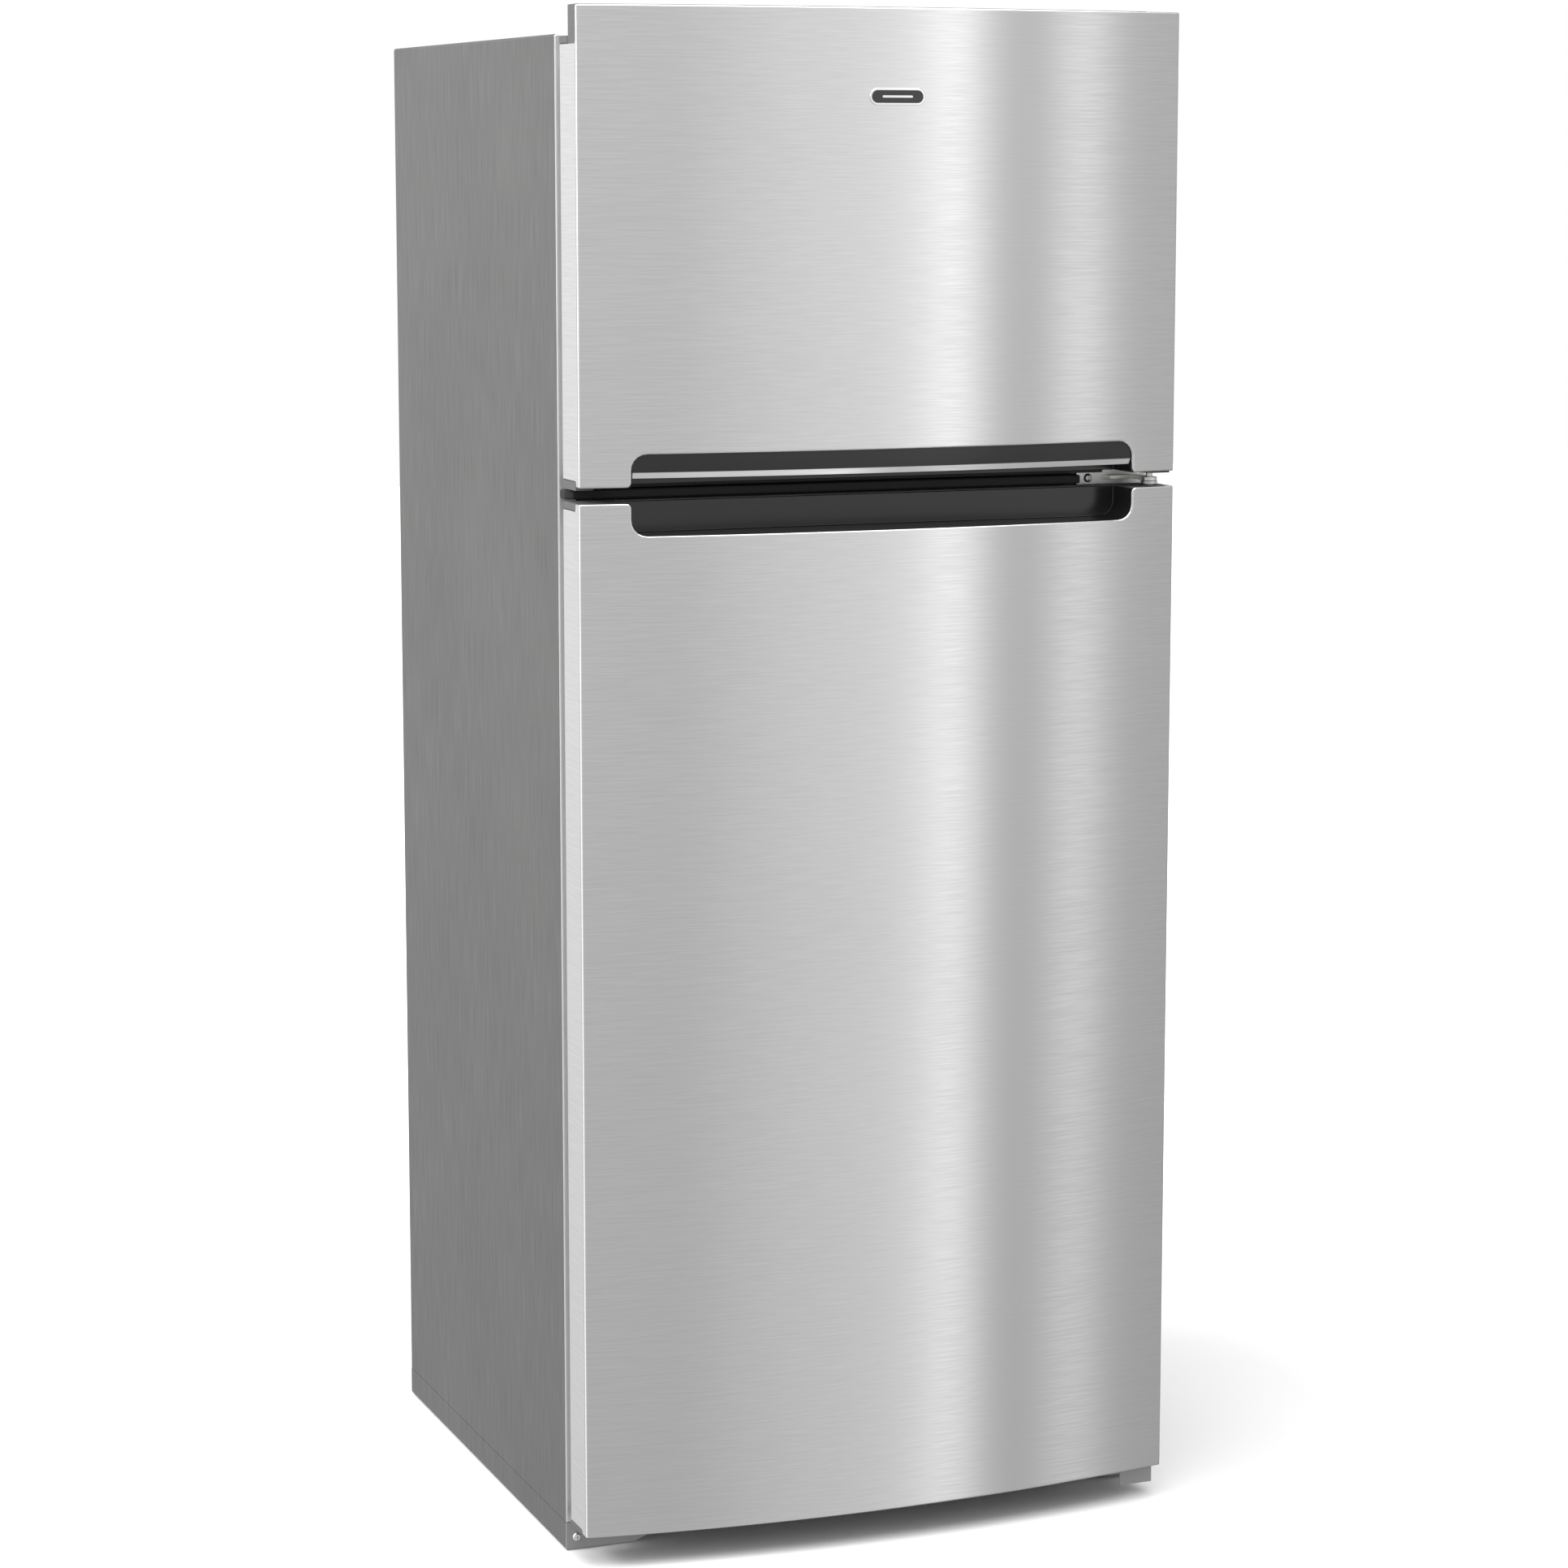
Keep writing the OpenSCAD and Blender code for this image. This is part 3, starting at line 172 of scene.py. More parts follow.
class Form:
    """A closed shape gathered from rows of points, rounded blocks and turned profiles."""

    def __init__(self):
        self.points, self.faces = [], []

    def rows(self, rows, around=True, along=False, start=True, end=True):
        """Skins neighbouring rows; each row is closed if around, the last meets the first if
        along, and the two ends are filled."""
        base, n = len(self.points), len(rows[0])
        for row in rows:
            self.points.extend(Vector(p) for p in row)
        count = len(rows)
        for i in range(count if along else count - 1):
            a, b = base + i * n, base + (i + 1) % count * n
            for j in range(n if around else n - 1):
                k = (j + 1) % n
                self.faces.append((a + j, a + k, b + k, b + j))
        if around and not along:
            if start:
                self.faces.append(tuple(base + j for j in range(n)))
            if end:
                self.faces.append(tuple(base + (count - 1) * n + j for j in reversed(range(n))))
        if along and not around:
            for j in (0, n - 1):
                self.faces.append(tuple(base + i * n + j for i in range(count)))
        return self

    def block(self, low, high, radius=1 * MM, steps=2):
        """A box with every edge rounded."""
        radius = min([radius] + [(high[k] - low[k]) / 2.05 for k in range(3)])
        rows = []
        for flip in (0, 1):
            for a in ease(steps):
                inset = radius * (1 - math.sin(a)) if not flip else radius * (1 - math.cos(a))
                z = (low[2] + radius * (1 - math.cos(a)) if not flip
                     else high[2] - radius * (1 - math.sin(a)))
                rows.append([(u, v, z) for u, v in rounded_rect(
                    (low[0] + inset, high[0] - inset), (low[1] + inset, high[1] - inset),
                    max(radius - inset, 0.05 * MM), steps)])
        return self.rows(rows)

    def turned(self, profile, centre, axis, steps=40):
        """A profile of (radius, height) turned round an axis given by its letter."""
        rows = []
        for radius, height in profile:
            row = []
            for a in circle(steps):
                u, v = radius * math.cos(a), radius * math.sin(a)
                row.append(Vector(centre) + Vector(
                    {"x": (height, u, v), "y": (v, height, u), "z": (u, v, height)}[axis]))
            rows.append(row)
        return self.rows(rows)

    def node(self, node):
        """Takes in a welded copy of a CAD node."""
        base = len(self.points)
        mesh = NODES[node].data
        self.points.extend(v.co.copy() for v in mesh.vertices)
        self.faces.extend(tuple(base + i for i in p.vertices) for p in mesh.polygons)
        return self

    def mesh(self, name, weld=0.002 * MM, recalc=True):
        bm = bmesh.new()
        made = [bm.verts.new(p) for p in self.points]
        for face in self.faces:
            try:
                bm.faces.new([made[i] for i in face])
            except ValueError:
                pass
        bmesh.ops.remove_doubles(bm, verts=bm.verts, dist=weld)
        bmesh.ops.dissolve_degenerate(bm, dist=weld, edges=bm.edges)
        if recalc:
            bmesh.ops.recalc_face_normals(bm, faces=bm.faces)
        mesh = bpy.data.meshes.new(name)
        bm.to_mesh(mesh)
        bm.free()
        return mesh


def evaluated_mesh(obj):
    """The object's mesh with its modifiers applied, as a plain mesh."""
    graph = bpy.context.evaluated_depsgraph_get()
    return bpy.data.meshes.new_from_object(obj.evaluated_get(graph), depsgraph=graph)


def link(name, mesh):
    obj = bpy.data.objects.new(name, mesh)
    bpy.context.scene.collection.objects.link(obj)
    return obj


def publish(name, shape, body, finish, *replaces, bevel=0.0, steps=2, sharp=SHARP, even=True,
            keep=False):
    """Makes a finished piece: bevelled, shaded, given its finish and set on its body. keep
    leaves a mesh that has normals of its own as it is."""
    mesh = shape.mesh(name) if isinstance(shape, Form) else shape
    obj = link(name, mesh)
    if not keep:
        mesh.shade_smooth()
        if bevel:
            edge = obj.modifiers.new("Rounded edges", "BEVEL")
            edge.width, edge.segments = bevel, steps
            edge.limit_method, edge.angle_limit = "ANGLE", math.radians(SHARP)
            edge.use_clamp_overlap = True
            edge.harden_normals = False
            obj.data = evaluated_mesh(obj)
            obj.modifiers.clear()
        obj.data.shade_smooth()
        obj.data.set_sharp_from_angle(angle=math.radians(sharp))
        if even:
            normal = obj.modifiers.new("Even normals", "WEIGHTED_NORMAL")
            normal.keep_sharp = True
            normal.weight = 100
            obj.data = evaluated_mesh(obj)
            obj.modifiers.clear()
    obj.data.name = name
    obj.data.materials.clear()
    obj.data.materials.append(finish_of(finish))
    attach(obj, body)
    if replaces:
        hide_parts(*replaces)
    return obj


def soften(name, node, finish, bevel=0.8, steps=2, body=CABINET, shape=None):
    """A copy of a CAD node with edges rounded by bevel millimetres, which stands for it. shape
    works on the copy before the rounding."""
    bm = bmesh.new()
    bm.from_mesh(Form().node(node).mesh(name))
    bmesh.ops.dissolve_limit(bm, angle_limit=math.radians(0.4), verts=bm.verts, edges=bm.edges)
    if shape:
        shape(bm)
    mesh = bpy.data.meshes.new(name)
    bm.to_mesh(mesh)
    bm.free()
    return publish(name, mesh, body, finish, node, bevel=bevel * MM, steps=steps)


def dress(node, finish):
    """Gives a CAD node that keeps its shape a better material."""
    mesh = NODES[node].data
    mesh.materials.clear()
    mesh.materials.append(finish_of(finish))


# ---------------------------------------------------------------- node trees

def new_group(name, inputs, outputs, kind="ShaderNodeTree"):
    """An empty node group with its sockets; an input may carry a default value."""
    tree = bpy.data.node_groups.new(name, kind)
    for way, entries in (("INPUT", inputs), ("OUTPUT", outputs)):
        for label, value_kind, *value in entries:
            made = tree.interface.new_socket(label, in_out=way,
                                             socket_type="NodeSocket" + value_kind)
            if value:
                made.default_value = value[0]
    return tree


def graph(tree, kinds, values, links):
    """Adds nodes to a tree, sets values on their inputs and joins them. A kind is a node type
    with its settings, or a node that is there already. A link reads "node.output >
    node.input"; sockets that share a name are told by their number."""
    nodes = {}
    for name, kind in kinds.items():
        if not isinstance(kind, str):
            nodes[name] = kind
            continue
        kind, *settings = kind.split()
        nodes[name] = tree.nodes.new(kind if "Node" in kind else "ShaderNode" + kind)
        for setting in settings:
            setattr(nodes[name], *setting.split("="))

    def find(path, side):
        name, label = path.strip().split(".")
        return getattr(nodes[name], side)[int(label) if label.isdigit() else label]

    for path, value in values.items():
        find(path, "inputs").default_value = value
    for row in links.strip().splitlines():
        source, target = row.split(">")
        tree.links.new(find(source, "outputs"), find(target, "inputs"))
    return nodes


def surface_group(name, inputs, kinds, values, links):
    """A group that gives a colour between two shades, a roughness and a height."""
    tree = new_group(name, inputs, [("Color", "Color"), ("Roughness", "Float"),
                                    ("Height", "Float")])
    graph(tree, {"in": "NodeGroupInput", "out": "NodeGroupOutput", "where": "TexCoord",
                 "shade": "Mix data_type=RGBA", "rough": "MapRange", **kinds}, values, links + """
        in.0 > shade.6
        in.1 > shade.7
        in.Smooth Roughness > rough.To """ + ("Max" if "ramp" in kinds else "Min") + """
        in.Dull Roughness > rough.To """ + ("Min" if "ramp" in kinds else "Max") + """
        shade.2 > out.Color
        rough.Result > out.Roughness""")


def grain_group():
    """Noise drawn out along one direction, as brushing, drawing or paint grain leaves it."""
    surface_group(
        "Drawn grain",
        [("Dark", "Color", (0.4, 0.4, 0.4, 1)), ("Light", "Color", (0.6, 0.6, 0.6, 1)),
         ("Stretch", "Vector", (10, 10, 1000)), ("Detail", "Float", 3.0),
         ("Smooth Roughness", "Float", 0.3), ("Dull Roughness", "Float", 0.4),
         ("Patch Amount", "Float", 0.3)],
        {"place": "Mapping", "noise": "TexNoise", "patch": "TexNoise",
         "add": "Math operation=MULTIPLY_ADD", "ramp": "MapRange"},
        {"patch.Scale": 4.0, "patch.Detail": 2.0, "noise.Scale": 1.0, "ramp.From Min": 0.25,
         "ramp.From Max": 0.85}, """
        where.Object > place.Vector
        in.Stretch > place.Scale
        place.Vector > noise.Vector
        in.Detail > noise.Detail
        where.Object > patch.Vector
        patch.Fac > add.0
        in.Patch Amount > add.1
        noise.Fac > add.2
        add.Value > ramp.Value
        ramp.Result > shade.Factor
        ramp.Result > rough.Value
        noise.Fac > out.Height""")


def pebble_group():
    """Small cells, as leather grain or spark texture in moulded plastic."""
    surface_group(
        "Pebbled skin",
        [("Base", "Color", (0.02, 0.02, 0.02, 1)), ("Worn", "Color", (0.05, 0.05, 0.05, 1)),
         ("Cells Per Metre", "Float", 600.0), ("Smooth Roughness", "Float", 0.35),
         ("Dull Roughness", "Float", 0.6)],
        {"cell": "TexVoronoi feature=SMOOTH_F1", "cloud": "TexNoise",
         "both": "Math operation=MULTIPLY"},
        {"cell.Smoothness": 0.4, "cloud.Scale": 9.0, "cloud.Detail": 3.0}, """
        where.Object > cell.Vector
        in.Cells Per Metre > cell.Scale
        where.Object > cloud.Vector
        cell.Distance > both.0
        cloud.Fac > both.1
        both.Value > shade.Factor
        cell.Distance > rough.Value
        cell.Distance > out.Height""")


GRAIN, PEBBLE = "Drawn grain", "Pebbled skin"
# Each finish: its slot, the group that makes its surface, a dark and a light shade (a number
# is a grey), the stretch or the cells per metre, the roughness limits, the bump in
# millimetres, and plain shader values.
FINISHES = {
    "brushed_steel": ("brushed_door", GRAIN, 0.58, 0.65, (22, 22, 640),
        (0.17, 0.23), 0.004, {"Metallic": 1.0, "Anisotropic": 0.75, "Anisotropic Rotation": 0.25}),
    "side_paint": ("painted_side", GRAIN, 0.092, (0.124, 0.124, 0.122), (240, 240, 14),
        (0.34, 0.46), 0.02, {"Metallic": 0.35}),
    # Lighter than the sides: painted light on the front flange, which lies in the doors' shade,
    # and a painted highlight along its rolled bend.
    "face_paint_with_painted_light": ("painted_side", GRAIN, 0.55, 0.62, (240, 240, 14),
        (0.28, 0.38), 0.01, {"Metallic": 0.2}),
    # The grip strip is a painted highlight: a pale metal ribbon standing for light caught on the
    # lip under the freezer grip.
    "grip_edge": ("gloss_black", GRAIN, 0.72, 0.8, (22, 22, 300),
        (0.12, 0.2), 0.004, {"Metallic": 0.9}),
    "zinc_sheet": ("zinc_sheet", GRAIN, (0.3, 0.31, 0.32), (0.5, 0.51, 0.52), (30, 30, 30),
        (0.35, 0.55), 0.02, {"Metallic": 0.8}),
    "bright_zinc": ("bright_zinc", GRAIN, (0.78, 0.78, 0.76), (0.93, 0.93, 0.91), (90, 90, 90),
        (0.2, 0.34), 0.01, {"Metallic": 0.75}),
    "bracket_paint": ("bracket_grey", PEBBLE, 0.33, 0.42, 900,
        (0.35, 0.5), 0.02, {"Metallic": 0.3}),
    "black_metal": ("black_metal", PEBBLE, 0.012, 0.04, 700, (0.32, 0.5), 0.02, {}),
    "black_grain": ("black_grain", PEBBLE, 0.01, 0.03, 260, (0.28, 0.45), 0.9, {}),
    "gloss_black": ("gloss_black", GRAIN, (0.008, 0.008, 0.009), (0.012, 0.012, 0.013), (6, 6, 6),
        (0.05, 0.09), 0.004, {"Specular IOR Level": 0.08}),
    "cap_grey": ("cap_grey", PEBBLE, 0.075, 0.12, 1100, (0.4, 0.58), 0.03, {}),
    "liner_white": ("liner_white", PEBBLE, (0.78, 0.79, 0.79), (0.84, 0.85, 0.85), 500,
        (0.22, 0.34), 0.02, {}),
    "trim_white": ("trim_white", PEBBLE, (0.74, 0.75, 0.76), (0.8, 0.81, 0.82), 900,
        (0.35, 0.5), 0.02, {}),
    "clear_plastic": ("clear_plastic", GRAIN, (0.86, 0.9, 0.93), (0.9, 0.94, 0.96), (5, 5, 5),
        (0.04, 0.1), 0.004, {"Transmission Weight": 0.93, "IOR": 1.49}),
    "shelf_glass": ("shelf_glass", None, (0.86, 0.94, 0.91), (0.86, 0.94, 0.91), None,
        (0.02, 0.02), 0.0, {"Transmission Weight": 0.95, "IOR": 1.52}),
    "lamp_lens": ("lamp_lens", PEBBLE, (0.9, 0.89, 0.82), (0.94, 0.93, 0.88), 420,
        (0.2, 0.4), 0.08,
        {"Transmission Weight": 0.45, "IOR": 1.49, "Emission Color": (1.0, 0.95, 0.82, 1),
         "Emission Strength": 0.6}),
    "gasket_grey": ("gasket_grey", PEBBLE, 0.3, 0.36, 700, (0.5, 0.7), 0.02, {}),
    "foam": ("foam", PEBBLE, (0.56, 0.54, 0.48), (0.66, 0.64, 0.57), 260, (0.7, 0.9), 0.2, {}),
    "fin_aluminium": ("fin_aluminium", GRAIN, (0.62, 0.63, 0.65), (0.8, 0.81, 0.83), (60, 60, 8),
        (0.25, 0.4), 0.01, {"Metallic": 1.0}),
    "copper": ("copper", GRAIN, (0.55, 0.27, 0.15), (0.78, 0.43, 0.28), (40, 40, 40),
        (0.22, 0.4), 0.01, {"Metallic": 1.0}),
    "black_rubber": ("black_rubber", PEBBLE, 0.015, 0.035, 600, (0.5, 0.75), 0.03, {}),
    "badge_metal": ("badge_metal", GRAIN, 0.62, 0.8, (20, 20, 20),
        (0.08, 0.16), 0.004, {"Metallic": 1.0}),
    "badge_inlay": ("badge_metal", PEBBLE, (0.02, 0.02, 0.022), 0.05, 900, (0.2, 0.35), 0.01, {}),
    "print_grey": ("cap_grey", PEBBLE, (0.18, 0.2, 0.24), (0.22, 0.24, 0.28), 900,
        (0.4, 0.5), 0.005, {}),
}


def finish_of(name):
    made = bpy.data.materials.get(name)
    return made or make_finish(name)


def make_finish(name):
    """One material: the surface pattern from its group, the uniform values on the shader."""
    _, group, dark, light, size, rough, bump, plain = FINISHES[name]
    dark, light = ((*shade, 1) if isinstance(shade, tuple) else (shade, shade, shade, 1)
                   for shade in (dark, light))
    made = bpy.data.materials.new(name)
    made.use_nodes = True
    made.diffuse_color = light
    shader = made.node_tree.nodes["Principled BSDF"]
    for label, value in plain.items():
        shader.inputs[label].default_value = value
    if group is None:
        shader.inputs["Base Color"].default_value = light
        shader.inputs["Roughness"].default_value = rough[0]
        return made
    pattern = made.node_tree.nodes.new("ShaderNodeGroup")
    pattern.node_tree = bpy.data.node_groups[group]
    pattern.inputs["Stretch" if group == GRAIN else "Cells Per Metre"].default_value = size
    graph(made.node_tree, {"pattern": pattern, "bump": "Bump", "shader": shader},
          {"pattern.0": dark, "pattern.1": light, "pattern.Smooth Roughness": rough[0],
           "pattern.Dull Roughness": rough[1], "bump.Strength": 0.5,
           "bump.Distance": bump * MM}, """
        pattern.Color > shader.Base Color
        pattern.Roughness > shader.Roughness
        pattern.Height > bump.Height
        bump.Normal > shader.Normal""")
    return made


# ---------------------------------------------------------------- geometry node trees

def object_tree(name, inputs, kinds, values, links):
    """A geometry tree that puts copies on points, makes them real and gives them a material."""
    tree = new_group(name, [("Geometry", "Geometry"), *inputs, ("Material", "Material")],
                     [("Geometry", "Geometry")], "GeometryNodeTree")
    graph(tree, {"in": "NodeGroupInput", "out": "NodeGroupOutput",
                 "put": "GeometryNodeInstanceOnPoints", "real": "GeometryNodeRealizeInstances",
                 "dye": "GeometryNodeSetMaterial", **kinds}, values, links + """
        put.Instances > real.Geometry
        real.Geometry > dye.Geometry
        in.Material > dye.Material
        dye.Geometry > out.Geometry""")


def seats_tree():
    """A copy of one head on every seat point, its Z turned to the point's axis."""
    object_tree(
        "Heads on seats", [("Head", "Object"), ("Scale", "Float", 1.0)],
        {"info": "GeometryNodeObjectInfo",
         "axis": "GeometryNodeInputNamedAttribute data_type=FLOAT_VECTOR",
         "aim": "FunctionNodeAlignRotationToVector axis=Z"}, {"axis.Name": "axis"}, """
        in.Head > info.Object
        in.Geometry > put.Points
        info.Geometry > put.Instance
        axis.Attribute > aim.Vector
        aim.Rotation > put.Rotation
        in.Scale > put.Scale""")


def wires_tree():
    """A row of round wires with a given pitch."""
    object_tree(
        "Row of wires",
        [("Count", "Int", 10), ("Start", "Vector", (0, 0, 0)), ("Pitch", "Vector", (0.02, 0, 0)),
         ("Run", "Vector", (0, 0.3, 0)), ("Wire Radius", "Float", 0.0015)],
        {"line": "GeometryNodeMeshLine", "one": "GeometryNodeCurvePrimitiveLine",
         "ring": "GeometryNodeCurvePrimitiveCircle", "tube": "GeometryNodeCurveToMesh"},
        {"ring.Resolution": 10, "tube.Fill Caps": True}, """
        in.Count > line.Count
        in.Start > line.Start Location
        in.Pitch > line.Offset
        in.Run > one.End
        in.Wire Radius > ring.Radius
        one.Curve > tube.Curve
        ring.Curve > tube.Profile Curve
        line.Mesh > put.Points
        tube.Mesh > put.Instance""")


def grow(name, tree_name, values, base=None):
    """Runs a tree on a base mesh and gives back the result as a plain mesh."""
    tree = bpy.data.node_groups[tree_name]
    holder = link(name + "_base", base or bpy.data.meshes.new(name + "_base"))
    made = holder.modifiers.new(tree_name, "NODES")
    made.node_group = tree
    for item in tree.interface.items_tree:
        if item.item_type == "SOCKET" and item.in_out == "INPUT" and item.name in values:
            made[item.identifier] = values[item.name]
    holder.update_tag()
    mesh = evaluated_mesh(holder)
    bpy.data.objects.remove(holder)
    if not mesh.polygons:
        raise RuntimeError(f"{tree_name} made nothing for {name}")
    return mesh


def seats_mesh(name, seats):
    """Points with the direction that a head on each one faces."""
    mesh = bpy.data.meshes.new(name)
    mesh.from_pydata([at for at, _ in seats], [], [])
    axis = mesh.attributes.new("axis", "FLOAT_VECTOR", "POINT")
    for item, (_, facing) in zip(axis.data, seats):
        item.vector = facing
    return mesh


# ---------------------------------------------------------------- settings

def length(name, size, tells):
    return FloatProperty(name=name, description=tells, default=size, unit="LENGTH", precision=4)


class DoorSettings(bpy.types.PropertyGroup):
    bulge: length("Bulge", 0.031, "How far a front bows out at its middle")
    corner: length("Corner", 0.0042, "Radius of the skin's upright corners")
    roll: length("Rolled edge", 0.0021, "Radius of the hem round a skin")
    pocket_corner: length("Pocket corner", 0.017, "Radius of a pocket's far corners")
    pocket_flare: length("Pocket flare", 0.0055, "Radius where a pocket meets the door's edge")
    grip_slope: length("Grip slope", 0.0072, "Height of the slope under the freezer grip")


class InsideSettings(bpy.types.PropertyGroup):
    tub_corner: length("Liner corner", 0.016, "Radius of a compartment's corners")
    mouth: length("Liner mouth", 0.004, "Radius where a liner turns to its rim")
    bin_corner: length("Bin corner", 0.014, "Radius of a bin's upright corners")
    shelf_wires: IntProperty(name="Shelf wires", description="Wires along the freezer shelf",
                             default=31, min=2)


class StageSettings(bpy.types.PropertyGroup):
    lens: FloatProperty(name="Lens", description="Focal length in millimetres", default=92.2)
    shift_y: FloatProperty(name="Shift", description="Upright shift of the camera", default=-0.03)
    camera_at: FloatVectorProperty(name="Camera", description="Where the camera stands",
                                   default=(-1.6817, -4.353, 1.5334), subtype="XYZ", unit="LENGTH")
    yaw: FloatProperty(name="Yaw", description="Camera's turn to the right", subtype="ANGLE",
                       default=math.radians(21.247))
    pitch: FloatProperty(name="Pitch", description="Camera's tilt upward", subtype="ANGLE",
                         default=math.radians(-8.179))
    floor: FloatVectorProperty(name="Floor", description="Colour of the floor", subtype="COLOR",
                               default=(0.93, 0.93, 0.93), min=0, max=1)


class RefrigeratorSettings(bpy.types.PropertyGroup):
    doors: PointerProperty(type=DoorSettings)
    inside: PointerProperty(type=InsideSettings)
    stage: PointerProperty(type=StageSettings)


def doors():
    return bpy.context.scene.refrigerator.doors


def inside():
    return bpy.context.scene.refrigerator.inside


# ---------------------------------------------------------------- shapes that several pieces use

def islands(node):
    """The lowest and highest corners of each separate solid in a CAD node."""
    bm = bmesh.new()
    bm.from_mesh(Form().node(node).mesh("islands"))
    left, boxes = set(bm.verts), []
    while left:
        queue, found = [left.pop()], []
        while queue:
            vert = queue.pop()
            found.append(vert.co.copy())
            for edge in vert.link_edges:
                other = edge.other_vert(vert)
                if other in left:
                    left.remove(other)
                    queue.append(other)
        boxes.append((Vector(map(min, zip(*found))), Vector(map(max, zip(*found)))))
    bm.free()
    return sorted(boxes, key=lambda b: (round(b[0].z, 4), round(b[0].x, 4)))


def frame_row(y, wide, low, high, inset, radius):
    """A rounded rectangle at y that reaches as far to the left as to the right."""
    return [(u, y, v) for u, v in rounded_rect((-wide + inset, wide - inset),
                                               (low + inset, high - inset), radius, 6)]


def tray(form, low, high, wall=0.0025, corner=0.014, floor=0.007, toward="z", steps=4):
    """An open box with round corners and a rounded rim. toward is the way it opens."""
    u, v = (low.x, high.x), (low.y, high.y)
    w = (low.z, high.z)
    if toward == "y":
        v, w = (low.z, high.z), (low.y, high.y)
    if toward == "-z":
        w = (high.z, low.z)
    sign = 1 if w[1] > w[0] else -1
    rows = []

    def row(inset, height):
        points = rounded_rect((u[0] + inset, u[1] - inset), (v[0] + inset, v[1] - inset),
                              max(corner - inset, 0.6 * MM), steps)
        at = w[0] + sign * height
        rows.append([(a, at, b) if toward == "y" else (a, b, at) for a, b in points])

    deep = abs(w[1] - w[0])
    inner = max(floor - wall, 1 * MM)
    for a in ease(4):
        row(floor * (1 - math.sin(a)), floor * (1 - math.cos(a)))
    for a in ease(6, 0, math.pi):
        row(wall / 2 * (1 - math.cos(a)), deep - wall / 2 + wall / 2 * math.sin(a))
    for a in ease(4):
        row(wall + inner * (1 - math.cos(a)), wall + inner * (1 - math.sin(a)))
    return form.rows(rows)


def subdivided(outline, columns, row_step=0.06):
    """Adds points where a long edge of an outline crosses the columns or is tall."""
    result = []
    for i, here in enumerate(outline):
        there = outline[(i + 1) % len(outline)]
        result.append(here)
        if abs(there.x - here.x) > 1.2 * MM and abs(there.y - here.y) < 0.1 * MM:
            low, high = sorted((here.x, there.x))
            inner = [s for s in columns if low + 0.3 * MM < s < high - 0.3 * MM]
            for s in (inner if there.x > here.x else reversed(inner)):
                result.append(Vector((s, here.y)))
        elif abs(there.y - here.y) > row_step:
            count = int(abs(there.y - here.y) / row_step) + 1
            for k in range(1, count):
                result.append(here.lerp(there, k / count))
    return result


def inward(outline):
    """For each point of an anticlockwise outline, the way to move it to inset the outline."""
    moves = []
    for i, here in enumerate(outline):
        a = (here - outline[i - 1]).normalized()
        b = (outline[(i + 1) % len(outline)] - here).normalized()
        na, nb = Vector((-a.y, a.x)), Vector((-b.y, b.x))
        mid = (na + nb).normalized()
        moves.append(mid / max(mid.dot(na), 0.4))
    return moves


def clearance(point, outline):
    """The distance from a point to the nearest side of an outline."""
    best = 1e9
    for i, a in enumerate(outline):
        b = outline[i - 1]
        run = b - a
        t = max(0, min(1, (point - a).dot(run) / max(run.length_squared, 1e-12)))
        best = min(best, (point - a - run * t).length)
    return best


